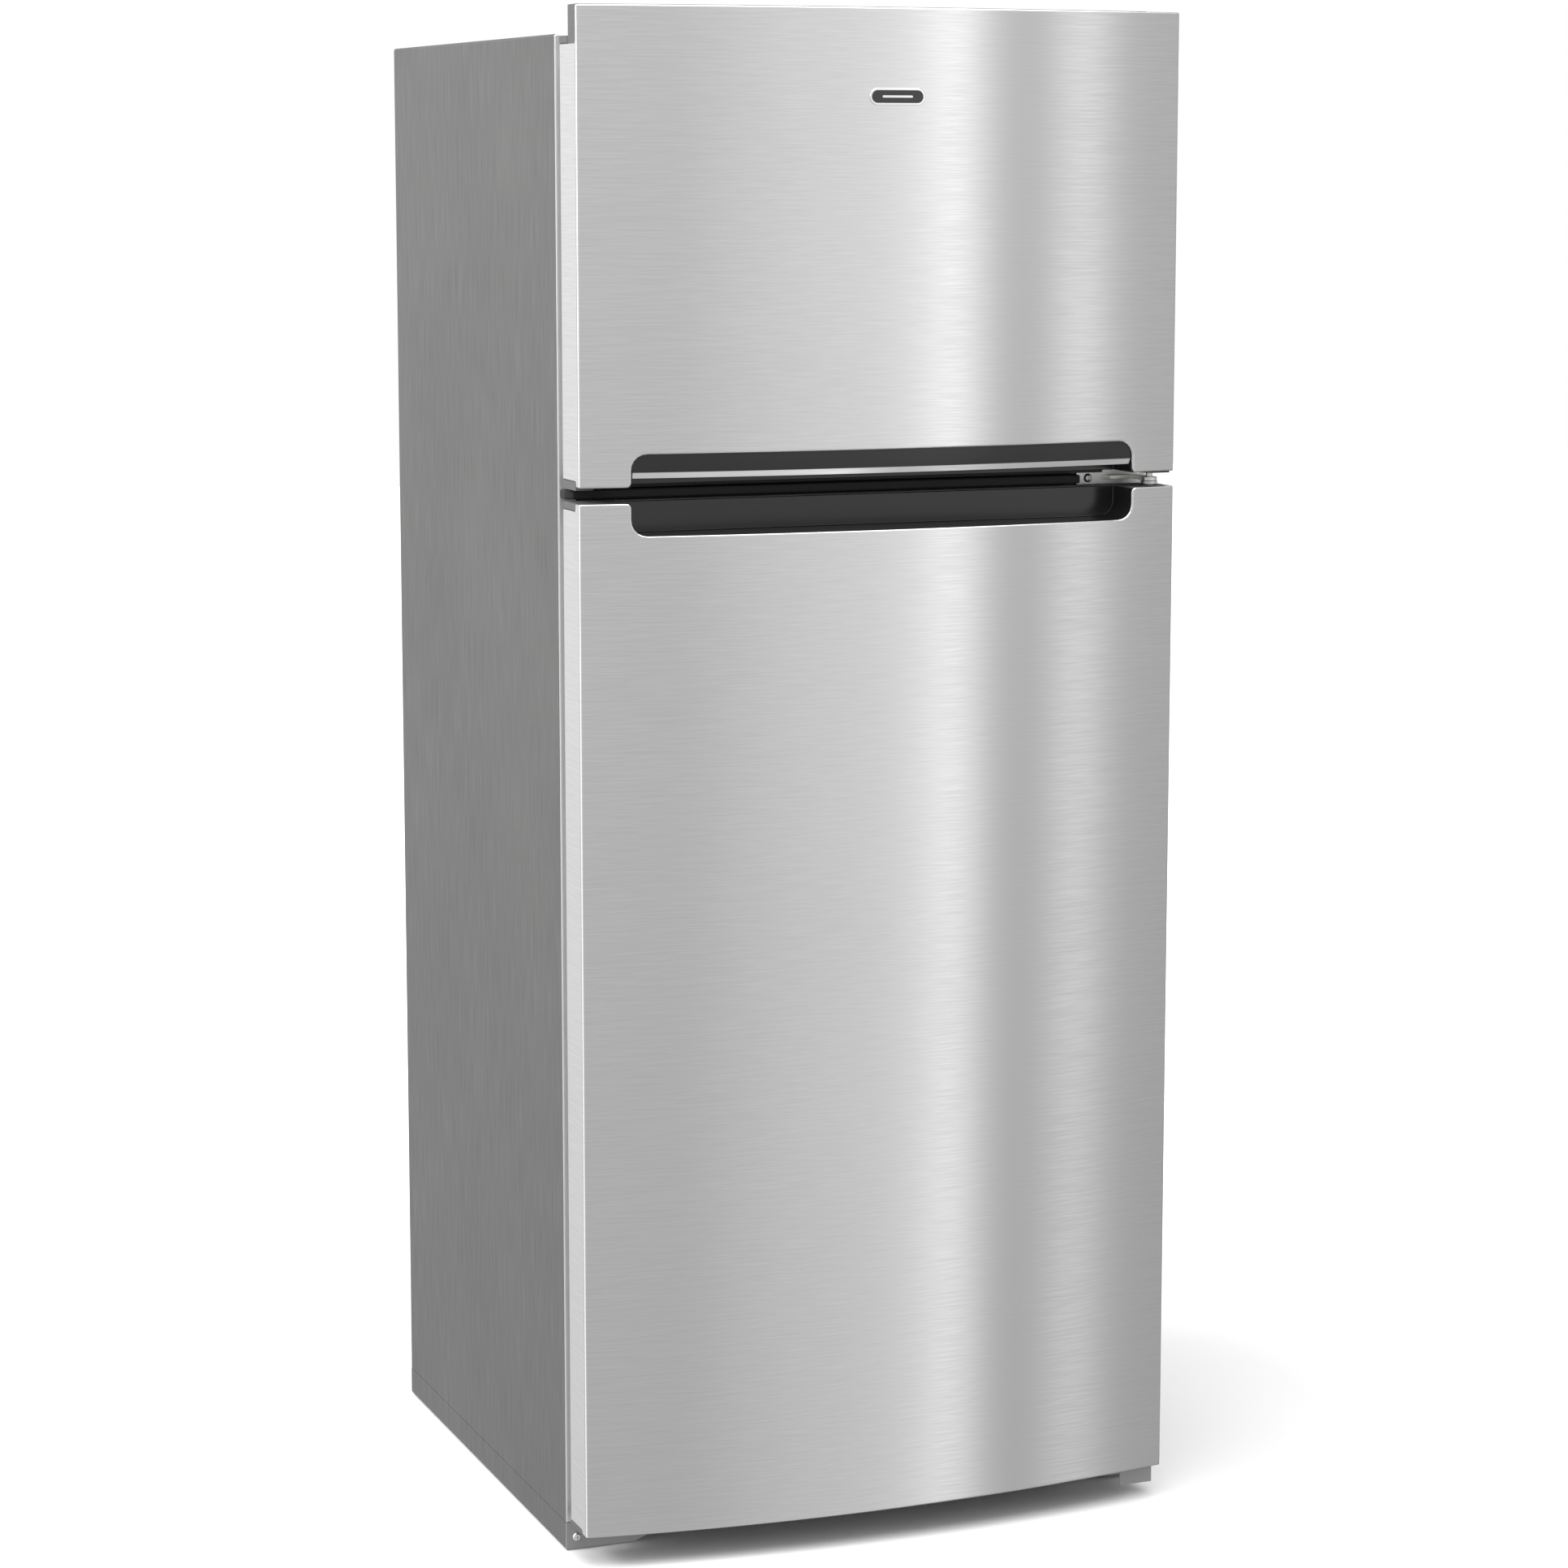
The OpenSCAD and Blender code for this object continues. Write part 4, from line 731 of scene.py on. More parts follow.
def hemmed_sheet(name, bow, corners, roll, lift=0.0, row_step=0.06, quarter=4):
    """A sheet that follows the bow, drawn as an outline in (length, z), with a half-round hem."""
    columns = bow.columns()
    outline = subdivided(round_corners(corners), columns, row_step)
    moves = inward(outline)
    face = [p + m * roll for p, m in zip(outline, moves)]
    ring = len(face)
    flat, edges = list(face), [(i, (i + 1) % ring) for i in range(ring)]
    near_edge = [step * MM for step in (1.2, 4, 10, 22) if step * MM < row_step]
    free = 0.7 * MM                # points closer to the border than this are left out
    for s in columns:
        cuts = sorted(a.y + (b.y - a.y) * (s - a.x) / (b.x - a.x)
                      for a, b in zip(face, face[1:] + face[:1]) if (a.x > s) != (b.x > s))
        for low, high in zip(cuts[::2], cuts[1::2]):
            count = max(1, int((high - low) / row_step))
            zs = sorted({round(z, 6) for z in [low + d for d in near_edge]
                         + [high - d for d in near_edge]
                         + [low + (high - low) * k / count for k in range(1, count)]
                         if low + 1 * MM < z < high - 1 * MM})
            last = None
            for z in zs:
                point = Vector((s, z))
                if clearance(point, face) < free:
                    continue
                flat.append(point)
                if last is not None:
                    edges.append((last, len(flat) - 1))
                last = len(flat) - 1
    out, _, triangles, origins, _, _ = delaunay_2d_cdt(flat, edges, [], 1, 1e-7)
    place = {}
    for new, old in enumerate(origins):
        for index in old:
            place[index] = new
    points, normals, faces = [], [], []

    def put(flat_point, depth, tilt, move):
        at, out_dir = bow.at(flat_point.x, depth - lift)
        at.z = flat_point.y
        side = Vector((-out_dir.y, out_dir.x, 0))
        plane = side * -move.x + Vector((0, 0, -move.y)) if move else Vector((0, 0, 0))
        points.append(at)
        if move:
            plane = plane.normalized() * math.cos(tilt)
            normals.append((out_dir * math.sin(tilt) + plane).normalized())
        else:
            normals.append(out_dir * (1 if tilt > 0 else -1))

    total = len(out)
    for p in out:
        put(p, 0.0, 1.0, None)
    for p in out:
        put(p, 2 * roll, -1.0, None)
    for tri in triangles:
        a, b, c = (out[i] for i in tri)
        order = tri if (b - a).cross(c - a) > 0 else list(reversed(tri))
        faces.append(tuple(order))
        faces.append(tuple(total + i for i in reversed(order)))
    tilts = ease(2 * quarter, math.pi / 2, -math.pi / 2)[1:-1]
    rings = [[place[i] for i in range(ring)]]
    for tilt in tilts:
        start = len(points)
        for p, m in zip(outline, moves):
            put(p + m * roll * (1 - math.cos(tilt)), roll * (1 - math.sin(tilt)), tilt, m)
        rings.append(list(range(start, start + ring)))
    rings.append([total + place[i] for i in range(ring)])
    for near, far in zip(rings, rings[1:]):
        for i in range(ring):
            k = (i + 1) % ring
            if len({near[i], near[k], far[k], far[i]}) == 4:
                faces.append((near[k], near[i], far[i], far[k]))
    mesh = bpy.data.meshes.new(name)
    mesh.from_pydata(points, [], faces)
    mesh.validate()
    mesh.shade_smooth()
    mesh.normals_split_custom_set_from_vertices(normals)
    return mesh


# ---------------------------------------------------------------- operators

class PieceOperator:
    """What the operators share: each builds one group of pieces."""
    bl_options = {"REGISTER", "UNDO"}

    def execute(self, context):
        self.build()
        return {"FINISHED"}


class FRIDGE_OT_finishes(PieceOperator, bpy.types.Operator):
    """Builds the shader groups, the finishes and the geometry trees"""
    bl_idname = "fridge.finishes"
    bl_label = "Finishes"

    def build(self):
        for make in (grain_group, pebble_group, seats_tree, wires_tree):
            make()
        for name in FINISHES:
            make_finish(name)


class FRIDGE_OT_cabinet(PieceOperator, bpy.types.Operator):
    """Makes the steel cabinet and its base"""
    bl_idname = "fridge.cabinet"
    bl_label = "Cabinet"

    def build(self):
        low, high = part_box("cabinet_wrapper")
        sheet, bend, turn = 1 * MM, 2.2 * MM, 3 * MM
        flange = high.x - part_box("freezer_liner")[1].x
        rear = high.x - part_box("back_panel")[1].x

        def path(inset):
            x, z = high.x - inset, high.z - inset
            radius = max(turn - inset, 0.4 * MM)
            left = [(-x + radius * (1 - math.cos(a)), z - radius * (1 - math.sin(a)))
                    for a in ease(6)]
            return [(-x, low.z)] + left + [(-px, pz) for px, pz in reversed(left)] + [(x, low.z)]

        near, far = low.y, high.y
        section = [(flange, near)]
        section += [(bend * (1 - math.sin(a)), near + bend * (1 - math.cos(a))) for a in ease(5)]
        section += [(bend * (1 - math.cos(a)), far - bend * (1 - math.sin(a))) for a in ease(5)]
        section += [(rear, far), (rear, far - sheet)]
        inner = bend - sheet
        section += [(bend - inner * math.sin(a), far - sheet - inner * (1 - math.cos(a)))
                    for a in ease(5)]
        section += [(bend - inner * math.cos(a), near + sheet + inner * (1 - math.sin(a)))
                    for a in ease(5)]
        section += [(flange, near + sheet)]
        rows = [[(x, y, z) for x, z in path(inset)] for inset, y in section]
        publish("cabinet_shell", Form().rows(rows, around=False, along=True),
                CABINET, "side_paint", "cabinet_wrapper")
        # A lighter skin just in front of the flange and round the rolled bend: painted light on
        # the flange and a painted highlight along the bend.
        face = [(flange, near - 0.2 * MM)]
        for radius, angles in ((bend + 0.2 * MM, ease(5, 0, math.radians(60))),
                               (bend - 0.3 * MM, ease(5, math.radians(60), 0))):
            face += [(bend - radius * math.sin(a), near + bend - radius * math.cos(a))
                     for a in angles]
        face.append((flange, near + 0.3 * MM))
        rows = [[(x, y, z) for x, z in path(inset)] for inset, y in face]
        publish("cabinet_face", Form().rows(rows, around=False, along=True),
                CABINET, "face_paint_with_painted_light")
        soften("back_sheet", "back_panel", "zinc_sheet", 0.3)
        soften("base_trim", "base_rails", "side_paint", 0.5)
        soften("foot_plate", "foot_bracket", "bracket_paint", 0.5)
        soften("toe_louvre", "toe_grille", "black_grain", 0.6)
        soften("machine_floor", "machine_base", "zinc_sheet", 0.3)
        dress("cabinet_foam", "foam")


class FRIDGE_OT_skins(PieceOperator, bpy.types.Operator):
    """Makes the two bowed door skins with their rolled edges"""
    bl_idname = "fridge.skins"
    bl_label = "Door skins"

    def build(self):
        d = doors()
        for door, top in ((FREEZER_DOOR, True), (FRIDGE_DOOR, False)):
            node = door + "_skin"
            bow = Bow(node, d.bulge, d.corner)
            low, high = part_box(node)
            z0, z1, end = low.z, high.z - (1.2 * MM if top else 0), bow.length
            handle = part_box(door.replace("_door", "_handle"))
            side = bow.across(handle[1].x - 3 * MM)
            pc, pf, small, notch = d.pocket_corner, d.pocket_flare, 2.5 * MM, 2.5 * MM
            if top:
                far = handle[1].z - 3 * MM
                foot, ledge = z0 + 6 * MM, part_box("cabinet_wrapper")[1].z - 10.5 * MM
                sn, st = bow.behind(FACE_Y - 60 * MM), bow.behind(FACE_Y - 67 * MM)
                right = [(side, far, pc), (side, z0, pf), (sn, z0, small), (sn, foot, notch),
                         (end, foot, small), (end, ledge, small), (st, ledge, notch),
                         (st, z1, small)]
            else:
                far = handle[0].z + 3 * MM
                foot, ledge = z0 + 4 * MM, z1 - 8 * MM
                sn, st = bow.behind(FACE_Y - 56 * MM), bow.behind(FACE_Y - 57 * MM)
                right = [(sn, z0, small), (sn, foot, notch), (end, foot, small),
                         (end, ledge, small), (st, ledge, notch), (st, z1, small),
                         (side, z1, pf), (side, far, pc)]
            left = [(-s, z, r) for s, z, r in reversed(right)]
            mesh = hemmed_sheet(node, bow, right + left, d.roll)
            publish(door + "_steel", mesh, door, "brushed_steel", node, keep=True)


class FRIDGE_OT_caps(PieceOperator, bpy.types.Operator):
    """Makes the moulded end caps of both doors"""
    bl_idname = "fridge.caps"
    bl_label = "End caps"

    def build(self):
        for door in (FREEZER_DOOR, FRIDGE_DOOR):
            soften(door + "_end_caps", door + "_caps", "cap_grey", 0.7, 3, body=door)
            dress(door + "_foam", "foam")


class FRIDGE_OT_handles(PieceOperator, bpy.types.Operator):
    """Makes the gloss black pockets that open the doors, with a painted highlight along the
    freezer grip's lip
    """
    bl_idname = "fridge.handles"
    bl_label = "Pocket handles"

    def build(self):
        bow = Bow("freezer_door_skin", doors().bulge, doors().corner)
        lip_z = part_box("freezer_handle")[1].z - 29 * MM

        def slope(bm):
            bmesh.ops.bisect_plane(bm, geom=bm.verts[:] + bm.edges[:] + bm.faces[:],
                                   plane_co=(0, 0, lip_z + doors().grip_slope), plane_no=(0, 0, 1))
            for vert in bm.verts:
                if abs(vert.co.z - lip_z) < 0.3 * MM and bow.depth(vert.co) < 5 * MM:
                    vert.co.y += 3.2 * MM

        soften("freezer_grip", "freezer_handle", "gloss_black", 0.7, 3,
               body=FREEZER_DOOR, shape=slope)
        # A pale ribbon laid on the slope under the grip: a painted highlight of the light the lip
        # catches, not a part of its own.
        wide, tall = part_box("freezer_handle")[1].x - 4.5 * MM, doors().grip_slope
        rows = []
        for k in range(61):
            s = bow.across(wide * (k / 30 - 1))
            row = []
            for under, height in ((2.7, tall - 0.5 * MM), (5.2, 0.6 * MM), (5.8, 0.9 * MM),
                                  (3.3, tall - 0.3 * MM)):
                point = bow.at(s, under * MM)[0]
                row.append((point.x, point.y, lip_z + height))
            rows.append(row)
        publish("grip_edge", Form().rows(rows), FREEZER_DOOR, "grip_edge")
        soften("fridge_pocket", "fridge_handle", "gloss_black", 0.9, 3, body=FRIDGE_DOOR)


class FRIDGE_OT_badge(PieceOperator, bpy.types.Operator):
    """Makes the plain name plate without lettering"""
    bl_idname = "fridge.badge"
    bl_label = "Badge plate"

    def build(self):
        bow = Bow("freezer_door_skin", doors().bulge, doors().corner)
        low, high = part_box("badge")
        mid_z, half_w, half_h = (low.z + high.z) / 2, high.x, (high.z - low.z) / 2
        rim = 2.2 * MM
        for name, w, h, roll, lift, finish, stands_for in (
                ("badge_plate", half_w, half_h, 0.45, 0.9, "badge_metal", ["badge"]),
                ("badge_inlay", half_w - rim, half_h - rim, 0.15, 0.97, "badge_inlay", []),
                ("badge_bar", half_w * 0.55, 1.2 * MM, 0.15, 0.995, "badge_metal", [])):
            sheet = hemmed_sheet(name, bow, self.plate(w, mid_z, h), roll * MM, lift=lift * MM,
                                 row_step=0.006)
            publish(name, sheet, FREEZER_DOOR, finish, *stands_for, keep=True)

    def plate(self, w, z, h):
        """A long outline with round ends."""
        r = h * 0.98
        return [(-w, z - h, r), (w, z - h, r), (w, z + h, r), (-w, z + h, r)]


class FRIDGE_OT_mullion(PieceOperator, bpy.types.Operator):
    """Makes the rail between the compartments and its grained cover strip"""
    bl_idname = "fridge.mullion"
    bl_label = "Mullion"

    def build(self):
        soften("mullion_strip", "mullion_trim", "black_grain", 2.2, 4)
        soften("mullion_plate", "mullion_rail", "black_metal", 0.3)


class FRIDGE_OT_hinges(PieceOperator, bpy.types.Operator):
    """Makes the three hinges and the roof cover"""
    bl_idname = "fridge.hinges"
    bl_label = "Hinges"

    def build(self):
        soften("roof_hinge", "top_hinge", "zinc_sheet", 0.5)
        soften("middle_hinge", "centre_hinge", "bright_zinc", 0.6)
        soften("foot_hinge", "bottom_hinge", "bracket_paint", 0.5)
        low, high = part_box("top_hinge_cover")
        cover = tray(Form(), low, high, 2 * MM, 7 * MM, 5 * MM, "-z", 5)
        publish("hinge_cover", cover, CABINET, "cap_grey", "top_hinge_cover")


class FRIDGE_OT_screws(PieceOperator, bpy.types.Operator):
    """Sets a cross-recessed screw on each hinge hole"""
    bl_idname = "fridge.screws"
    bl_label = "Screws"

    def head(self):
        """A pan head, 10 mm across, standing 3 mm on its seat."""
        cross = lambda a, long, wide: min(long, wide / max(abs(math.sin(
            (a + math.pi / 4) % (math.pi / 2) - math.pi / 4)), 0.05))
        rows, steps = [], 40

        def ring(radius_of, z):
            rows.append([(radius_of(a) * math.cos(a), radius_of(a) * math.sin(a), z)
                         for a in circle(steps)])

        ring(lambda a: 2.4 * MM, -2.9 * MM)
        ring(lambda a: 2.4 * MM, 0.0)
        for radius, z in ((5.0, 0.0), (5.0, 0.7), (4.6, 1.7), (3.9, 2.5), (3.1, 2.9), (2.9, 3.0)):
            ring(lambda a: radius * MM, z * MM)
        ring(lambda a: cross(a, 2.6 * MM, 0.55 * MM), 3.0 * MM)
        ring(lambda a: cross(a, 1.9 * MM, 0.42 * MM), 1.3 * MM)
        return Form().rows(rows).mesh("screw_head")

    def build(self):
        head = link("screw_head", self.head())
        seats, washer = [], None
        for low, high in islands("hinge_fasteners"):
            size, mid = high - low, (low + high) / 2
            if size.x > 15 * MM:
                washer = (low, high)
            elif abs(size.x - size.y) < 1 * MM:
                seats.append(((mid.x, mid.y, high.z - 3 * MM), (0, 0, 1)))
            else:
                seats.append(((mid.x, low.y + 3 * MM, mid.z), (0, -1, 0)))
        mesh = grow("hinge_screws", "Heads on seats",
                    {"Head": head, "Scale": 1.0, "Material": finish_of("bright_zinc")},
                    seats_mesh("screw_seats", seats))
        bpy.data.objects.remove(head)
        publish("hinge_screws", mesh, CABINET, "bright_zinc", "hinge_fasteners", sharp=40)
        low, high = washer
        mid, tall = (low + high) / 2, high.z - low.z
        rows = [(4.2, 0), (9.2, 0), (9.5, 0.3), (9.5, tall / MM - 0.3), (9.2, tall / MM),
                (4.2, tall / MM)]
        ring = [[(mid.x + r * MM * math.cos(a), mid.y + r * MM * math.sin(a), low.z + z * MM)
                 for a in circle(40)] for r, z in rows]
        publish("hinge_washer", Form().rows(ring, along=True), CABINET,
                "bright_zinc")


class FRIDGE_OT_liners(PieceOperator, bpy.types.Operator):
    """Makes the two formed compartments with their shelf ribs"""
    bl_idname = "fridge.liners"
    bl_label = "Liners"

    def tub(self, x, z, back, rim_z, rim_x, step=None):
        """Rows from the back of the outer wall, round the rim, to the back of the inner wall."""
        wall, mouth, corner = 2 * MM, inside().mouth, inside().tub_corner
        rows = []

        def row(y, inset, low, high, wide, radius):
            rows.append(frame_row(y, wide, low, high, inset, radius))

        low_at = lambda y: z[0] if not step or y < step[0] - 3 * MM else step[1]
        depth = [FACE_Y + mouth + 1 * MM]
        if step:
            depth += [step[0] - 6 * MM, step[0] - 2.6 * MM]
        depth += [back - corner]
        row(back + wall, corner * 0.6, low_at(back) - wall, z[1] + wall, x + wall, corner)
        for y in reversed(depth):
            row(y, 0, low_at(y) - wall, z[1] + wall, x + wall, corner + wall)
        row(FACE_Y + wall, 0, rim_z[0], rim_z[1], rim_x, 3 * MM)
        row(FACE_Y, 0.4 * MM, rim_z[0], rim_z[1], rim_x, 3 * MM)
        for a in ease(5):
            row(FACE_Y + mouth * (1 - math.cos(a)), -mouth * (1 - math.sin(a)), z[0], z[1], x,
                corner + mouth * (1 - math.sin(a)))
        for y in depth:
            row(y, 0, low_at(y), z[1], x, corner)
        for a in ease(6):
            row(back - corner * (1 - math.sin(a)), corner * (1 - math.cos(a)), low_at(back), z[1],
                x, max(corner * math.cos(a), 1 * MM))
        return Form().rows(rows)

    def build(self):
        cover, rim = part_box("evaporator_cover"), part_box("freezer_liner")
        x, z = cover[1].x + 1 * MM, (cover[0].z - 1 * MM, cover[1].z + 1 * MM)
        back = rim[1].y - 2 * MM
        tub = self.tub(x, z, back, (rim[0].z, rim[1].z), rim[1].x)
        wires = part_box("freezer_shelf")
        for side in (-1, 1):
            self.rib(tub, side, x, (wires[0].y, wires[1].y), wires[0].z)
        publish("freezer_tub", tub, CABINET, "liner_white", "freezer_liner")
        frame_box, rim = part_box("crisper_frame"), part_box("fridge_liner")
        x = frame_box[1].x + 5 * MM
        z = (frame_box[0].z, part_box("control_housing")[1].z)
        step = (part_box("crisper_left")[1].y + 8 * MM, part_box("machine_base")[1].z + 42 * MM)
        tub = self.tub(x, z, back, (rim[0].z, rim[1].z), rim[1].x, step)
        shelves = [low.z for low, high in islands("shelf_glass")]
        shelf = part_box("shelf_frames")
        for low_z in shelves:
            for side in (-1, 1):
                self.rib(tub, side, x, (shelf[0].y + 10 * MM, shelf[1].y), low_z - 9 * MM)
        publish("fridge_tub", tub, CABINET, "liner_white", "fridge_liner")

    def rib(self, form, side, x, y, z):
        """A rounded ledge along a side wall, its top at z."""
        edges = sorted((side * (x - 9 * MM), side * (x + 1 * MM)))
        form.block((edges[0], y[0], z - 6 * MM), (edges[1], y[1], z), 2 * MM, 3)


class FRIDGE_OT_panels(PieceOperator, bpy.types.Operator):
    """Makes the formed inner panels of the doors"""
    bl_idname = "fridge.panels"
    bl_label = "Door inner panels"

    def build(self):
        foot, crown, edge = 4 * MM, 5 * MM, 0.6 * MM     # bends at the dyke's foot and crown
        dyke_wide, outer, inner = 14 * MM, 16 * MM, 8 * MM
        land = FACE_Y - 16 * MM
        for door, bins in ((FREEZER_DOOR, "freezer_door_bins"), (FRIDGE_DOOR, "fridge_door_bins")):
            low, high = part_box(door + "_liner")
            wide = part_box(bins)[1].x + 1 * MM + dyke_wide
            if door == FREEZER_DOOR:
                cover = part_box("evaporator_cover")
                z = (cover[0].z + 7 * MM, cover[1].z - 7 * MM)
            else:
                z = (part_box("crisper_frame")[0].z + 8 * MM,
                     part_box("control_housing")[1].z - 8 * MM)
            rows = [frame_row(y, high.x, low.z, high.z, inset, 4 * MM)
                    for y, inset in ((low.y, 0.5 * MM), (land - 0.5 * MM, 0.0), (land, edge))]
            for y, inset, radius in (
                    [(land + foot * (1 - math.cos(a)), -foot * (1 - math.sin(a)), outer)
                     for a in ease(4)]
                    + [(high.y - crown * (1 - math.sin(a)), edge + crown * (1 - math.cos(a)),
                        outer - crown * (1 - math.cos(a))) for a in ease(4)]
                    + [(high.y - crown * (1 - math.cos(a)),
                        dyke_wide - edge - crown * (1 - math.sin(a)), inner) for a in ease(4)]
                    + [(land + foot * (1 - math.sin(a)), dyke_wide + foot * (1 - math.cos(a)),
                        inner) for a in ease(4)]):
                rows.append(frame_row(y, wide, z[0], z[1], inset, radius))
            publish(door + "_inner", Form().rows(rows), door, "liner_white", door + "_liner")


class FRIDGE_OT_gaskets(PieceOperator, bpy.types.Operator):
    """Makes the folded door gaskets"""
    bl_idname = "fridge.gaskets"
    bl_label = "Gaskets"

    def build(self):
        section = [(1, 0.1), (0, 3), (1.6, 5), (0, 7.5), (0.4, 14.6), (1.5, 15.7), (11.5, 15.7),
                   (12.6, 14.6), (13, 7.5), (11.4, 5), (13, 3), (12, 0.1)]
        for door in (FREEZER_DOOR, FRIDGE_DOOR):
            node = door.replace("_door", "_gasket")
            low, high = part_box(node)
            rows = [[(u, low.y + y * MM, v) for u, v in rounded_rect(
                (low.x + i * MM, high.x - i * MM), (low.z + i * MM, high.z - i * MM),
                max(7 - i * 0.5, 0.5) * MM, 4)] for i, y in section]
            publish(node + "_bellows", Form().rows(rows, along=True).mesh(node), door,
                    "gasket_grey", node, sharp=50)


class FRIDGE_OT_bins(PieceOperator, bpy.types.Operator):
    """Makes the clear door bins, the dairy box and its lid"""
    bl_idname = "fridge.bins"
    bl_label = "Door bins"

    def build(self):
        corner = inside().bin_corner
        dairy_tall, dairy_right = 108 * MM, 0.1      # tell the dairy box from the bins
        for node, door in (("freezer_door_bins", FREEZER_DOOR), ("fridge_door_bins", FRIDGE_DOOR)):
            form = Form()
            for low, high in islands(node):
                if high.z - low.z > dairy_tall and high.x < dairy_right:
                    tray(form, low, high, 2.5 * MM, 6 * MM, 4 * MM, "y")
                else:
                    tray(form, low, high, 2.5 * MM, corner)
                    self.rail(form, low, high)
            publish(node + "_clear", form.mesh(node), door, "clear_plastic", node)
        low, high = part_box("dairy_lid")
        lid = Form().block((low.x + 3 * MM, low.y + 1 * MM, low.z),
                           (high.x - 3 * MM, high.y - 1 * MM, high.z - 0.5 * MM), 1.2 * MM, 3)
        mid_y, mid_z = (low.y + high.y) / 2, high.z - 2.5 * MM
        lid.turned([(2.0 * MM, low.x), (2.5 * MM, low.x + 0.5 * MM), (2.5 * MM, high.x - 0.5 * MM),
                    (2.0 * MM, high.x)], (0, mid_y, mid_z), "x", 20)
        pull = (-0.16, -0.086)
        lid.block((pull[0], high.y - 2 * MM, low.z + 8 * MM),
                  (pull[1], high.y, low.z + 12 * MM), 0.8 * MM)
        publish("dairy_flap", lid, "dairy_lid", "clear_plastic", "dairy_lid")

    def rail(self, form, low, high):
        """A thicker band along the front of a bin."""
        form.block((low.x + 10 * MM, high.y - 3.4 * MM, high.z - 22 * MM),
                   (high.x - 10 * MM, high.y, high.z - 6 * MM), 1.6 * MM, 3)


class FRIDGE_OT_shelves(PieceOperator, bpy.types.Operator):
    """Makes the glass shelves, their frames and the freezer's wire shelf"""
    bl_idname = "fridge.shelves"
    bl_label = "Shelves"

    def build(self):
        soften("shelf_rims", "shelf_frames", "trim_white", 1.4, 3)
        soften("crisper_cover_rim", "crisper_frame", "trim_white", 1.4, 3)
        soften("shelf_panes", "shelf_glass", "shelf_glass", 0.6)
        low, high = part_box("freezer_shelf")
        count, radius = inside().shelf_wires, 1.5 * MM
        pitch = (high.x - low.x - 12 * MM) / (count - 1)
        dye = finish_of("trim_white")
        top = high.z - radius
        wires = grow("shelf_wires", "Row of wires", {
            "Count": count, "Start": (low.x + 6 * MM, low.y, top), "Pitch": (pitch, 0, 0),
            "Run": (0, high.y - low.y, 0), "Wire Radius": radius, "Material": dye})
        publish("shelf_wires", wires, CABINET, "trim_white", "freezer_shelf")
        rails = grow("shelf_rails", "Row of wires", {
            "Count": 4, "Start": (low.x, low.y + 5 * MM, top - radius - 2.6 * MM),
            "Pitch": (0, (high.y - low.y - 10 * MM) / 3, 0), "Run": (high.x - low.x, 0, 0),
            "Wire Radius": 2.9 * MM, "Material": dye})
        publish("shelf_rails", rails, CABINET, "trim_white")
        soften("evaporator_panel", "evaporator_cover", "trim_white", 0.8)


class FRIDGE_OT_drawers(PieceOperator, bpy.types.Operator):
    """Makes the crispers, the deli drawer and the humidity sliders"""
    bl_idname = "fridge.drawers"
    bl_label = "Drawers"

    def build(self):
        for side in ("left", "right"):
            node = "crisper_" + side
            low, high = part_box(node)
            body = Vector((low.x, low.y + 8 * MM, low.z))
            form = tray(Form(), body, high, 2.5 * MM, 12 * MM)
            self.front(form, low, high, 2 * MM, 22 * MM)
            publish(node + "_clear", form.mesh(node), node, "clear_plastic", node)
            slider = "humidity_slider_" + side
            soften("humidity_knob_" + side, slider, "cap_grey", 0.7, 3, body=slider)
        low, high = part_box("deli_drawer")
        form = tray(Form(), Vector((low.x + 5 * MM, low.y + 8 * MM, low.z)),
                    Vector((high.x - 5 * MM, high.y, high.z)), 2.5 * MM, 10 * MM)
        for edge in (low.x, high.x - 6 * MM):
            form.block((edge, low.y + 8 * MM, high.z - 4 * MM),
                       (edge + 6 * MM, high.y, high.z - 1 * MM), 0.8 * MM)
        self.front(form, low, high, 7 * MM, 20 * MM)
        publish("deli_clear", form, "deli_drawer", "clear_plastic", "deli_drawer")

    def front(self, form, low, high, edge, drop):
        """The lip and the pull along a drawer's front, set in by edge at both ends."""
        form.block((low.x + edge, low.y, high.z - 3 * MM),
                   (high.x - edge, low.y + 10 * MM, high.z), 1.2 * MM, 3)
        form.block((low.x + edge, low.y, high.z - drop),
                   (high.x - edge, low.y + 2.5 * MM, high.z - 0.5 * MM), 1.1 * MM, 3)


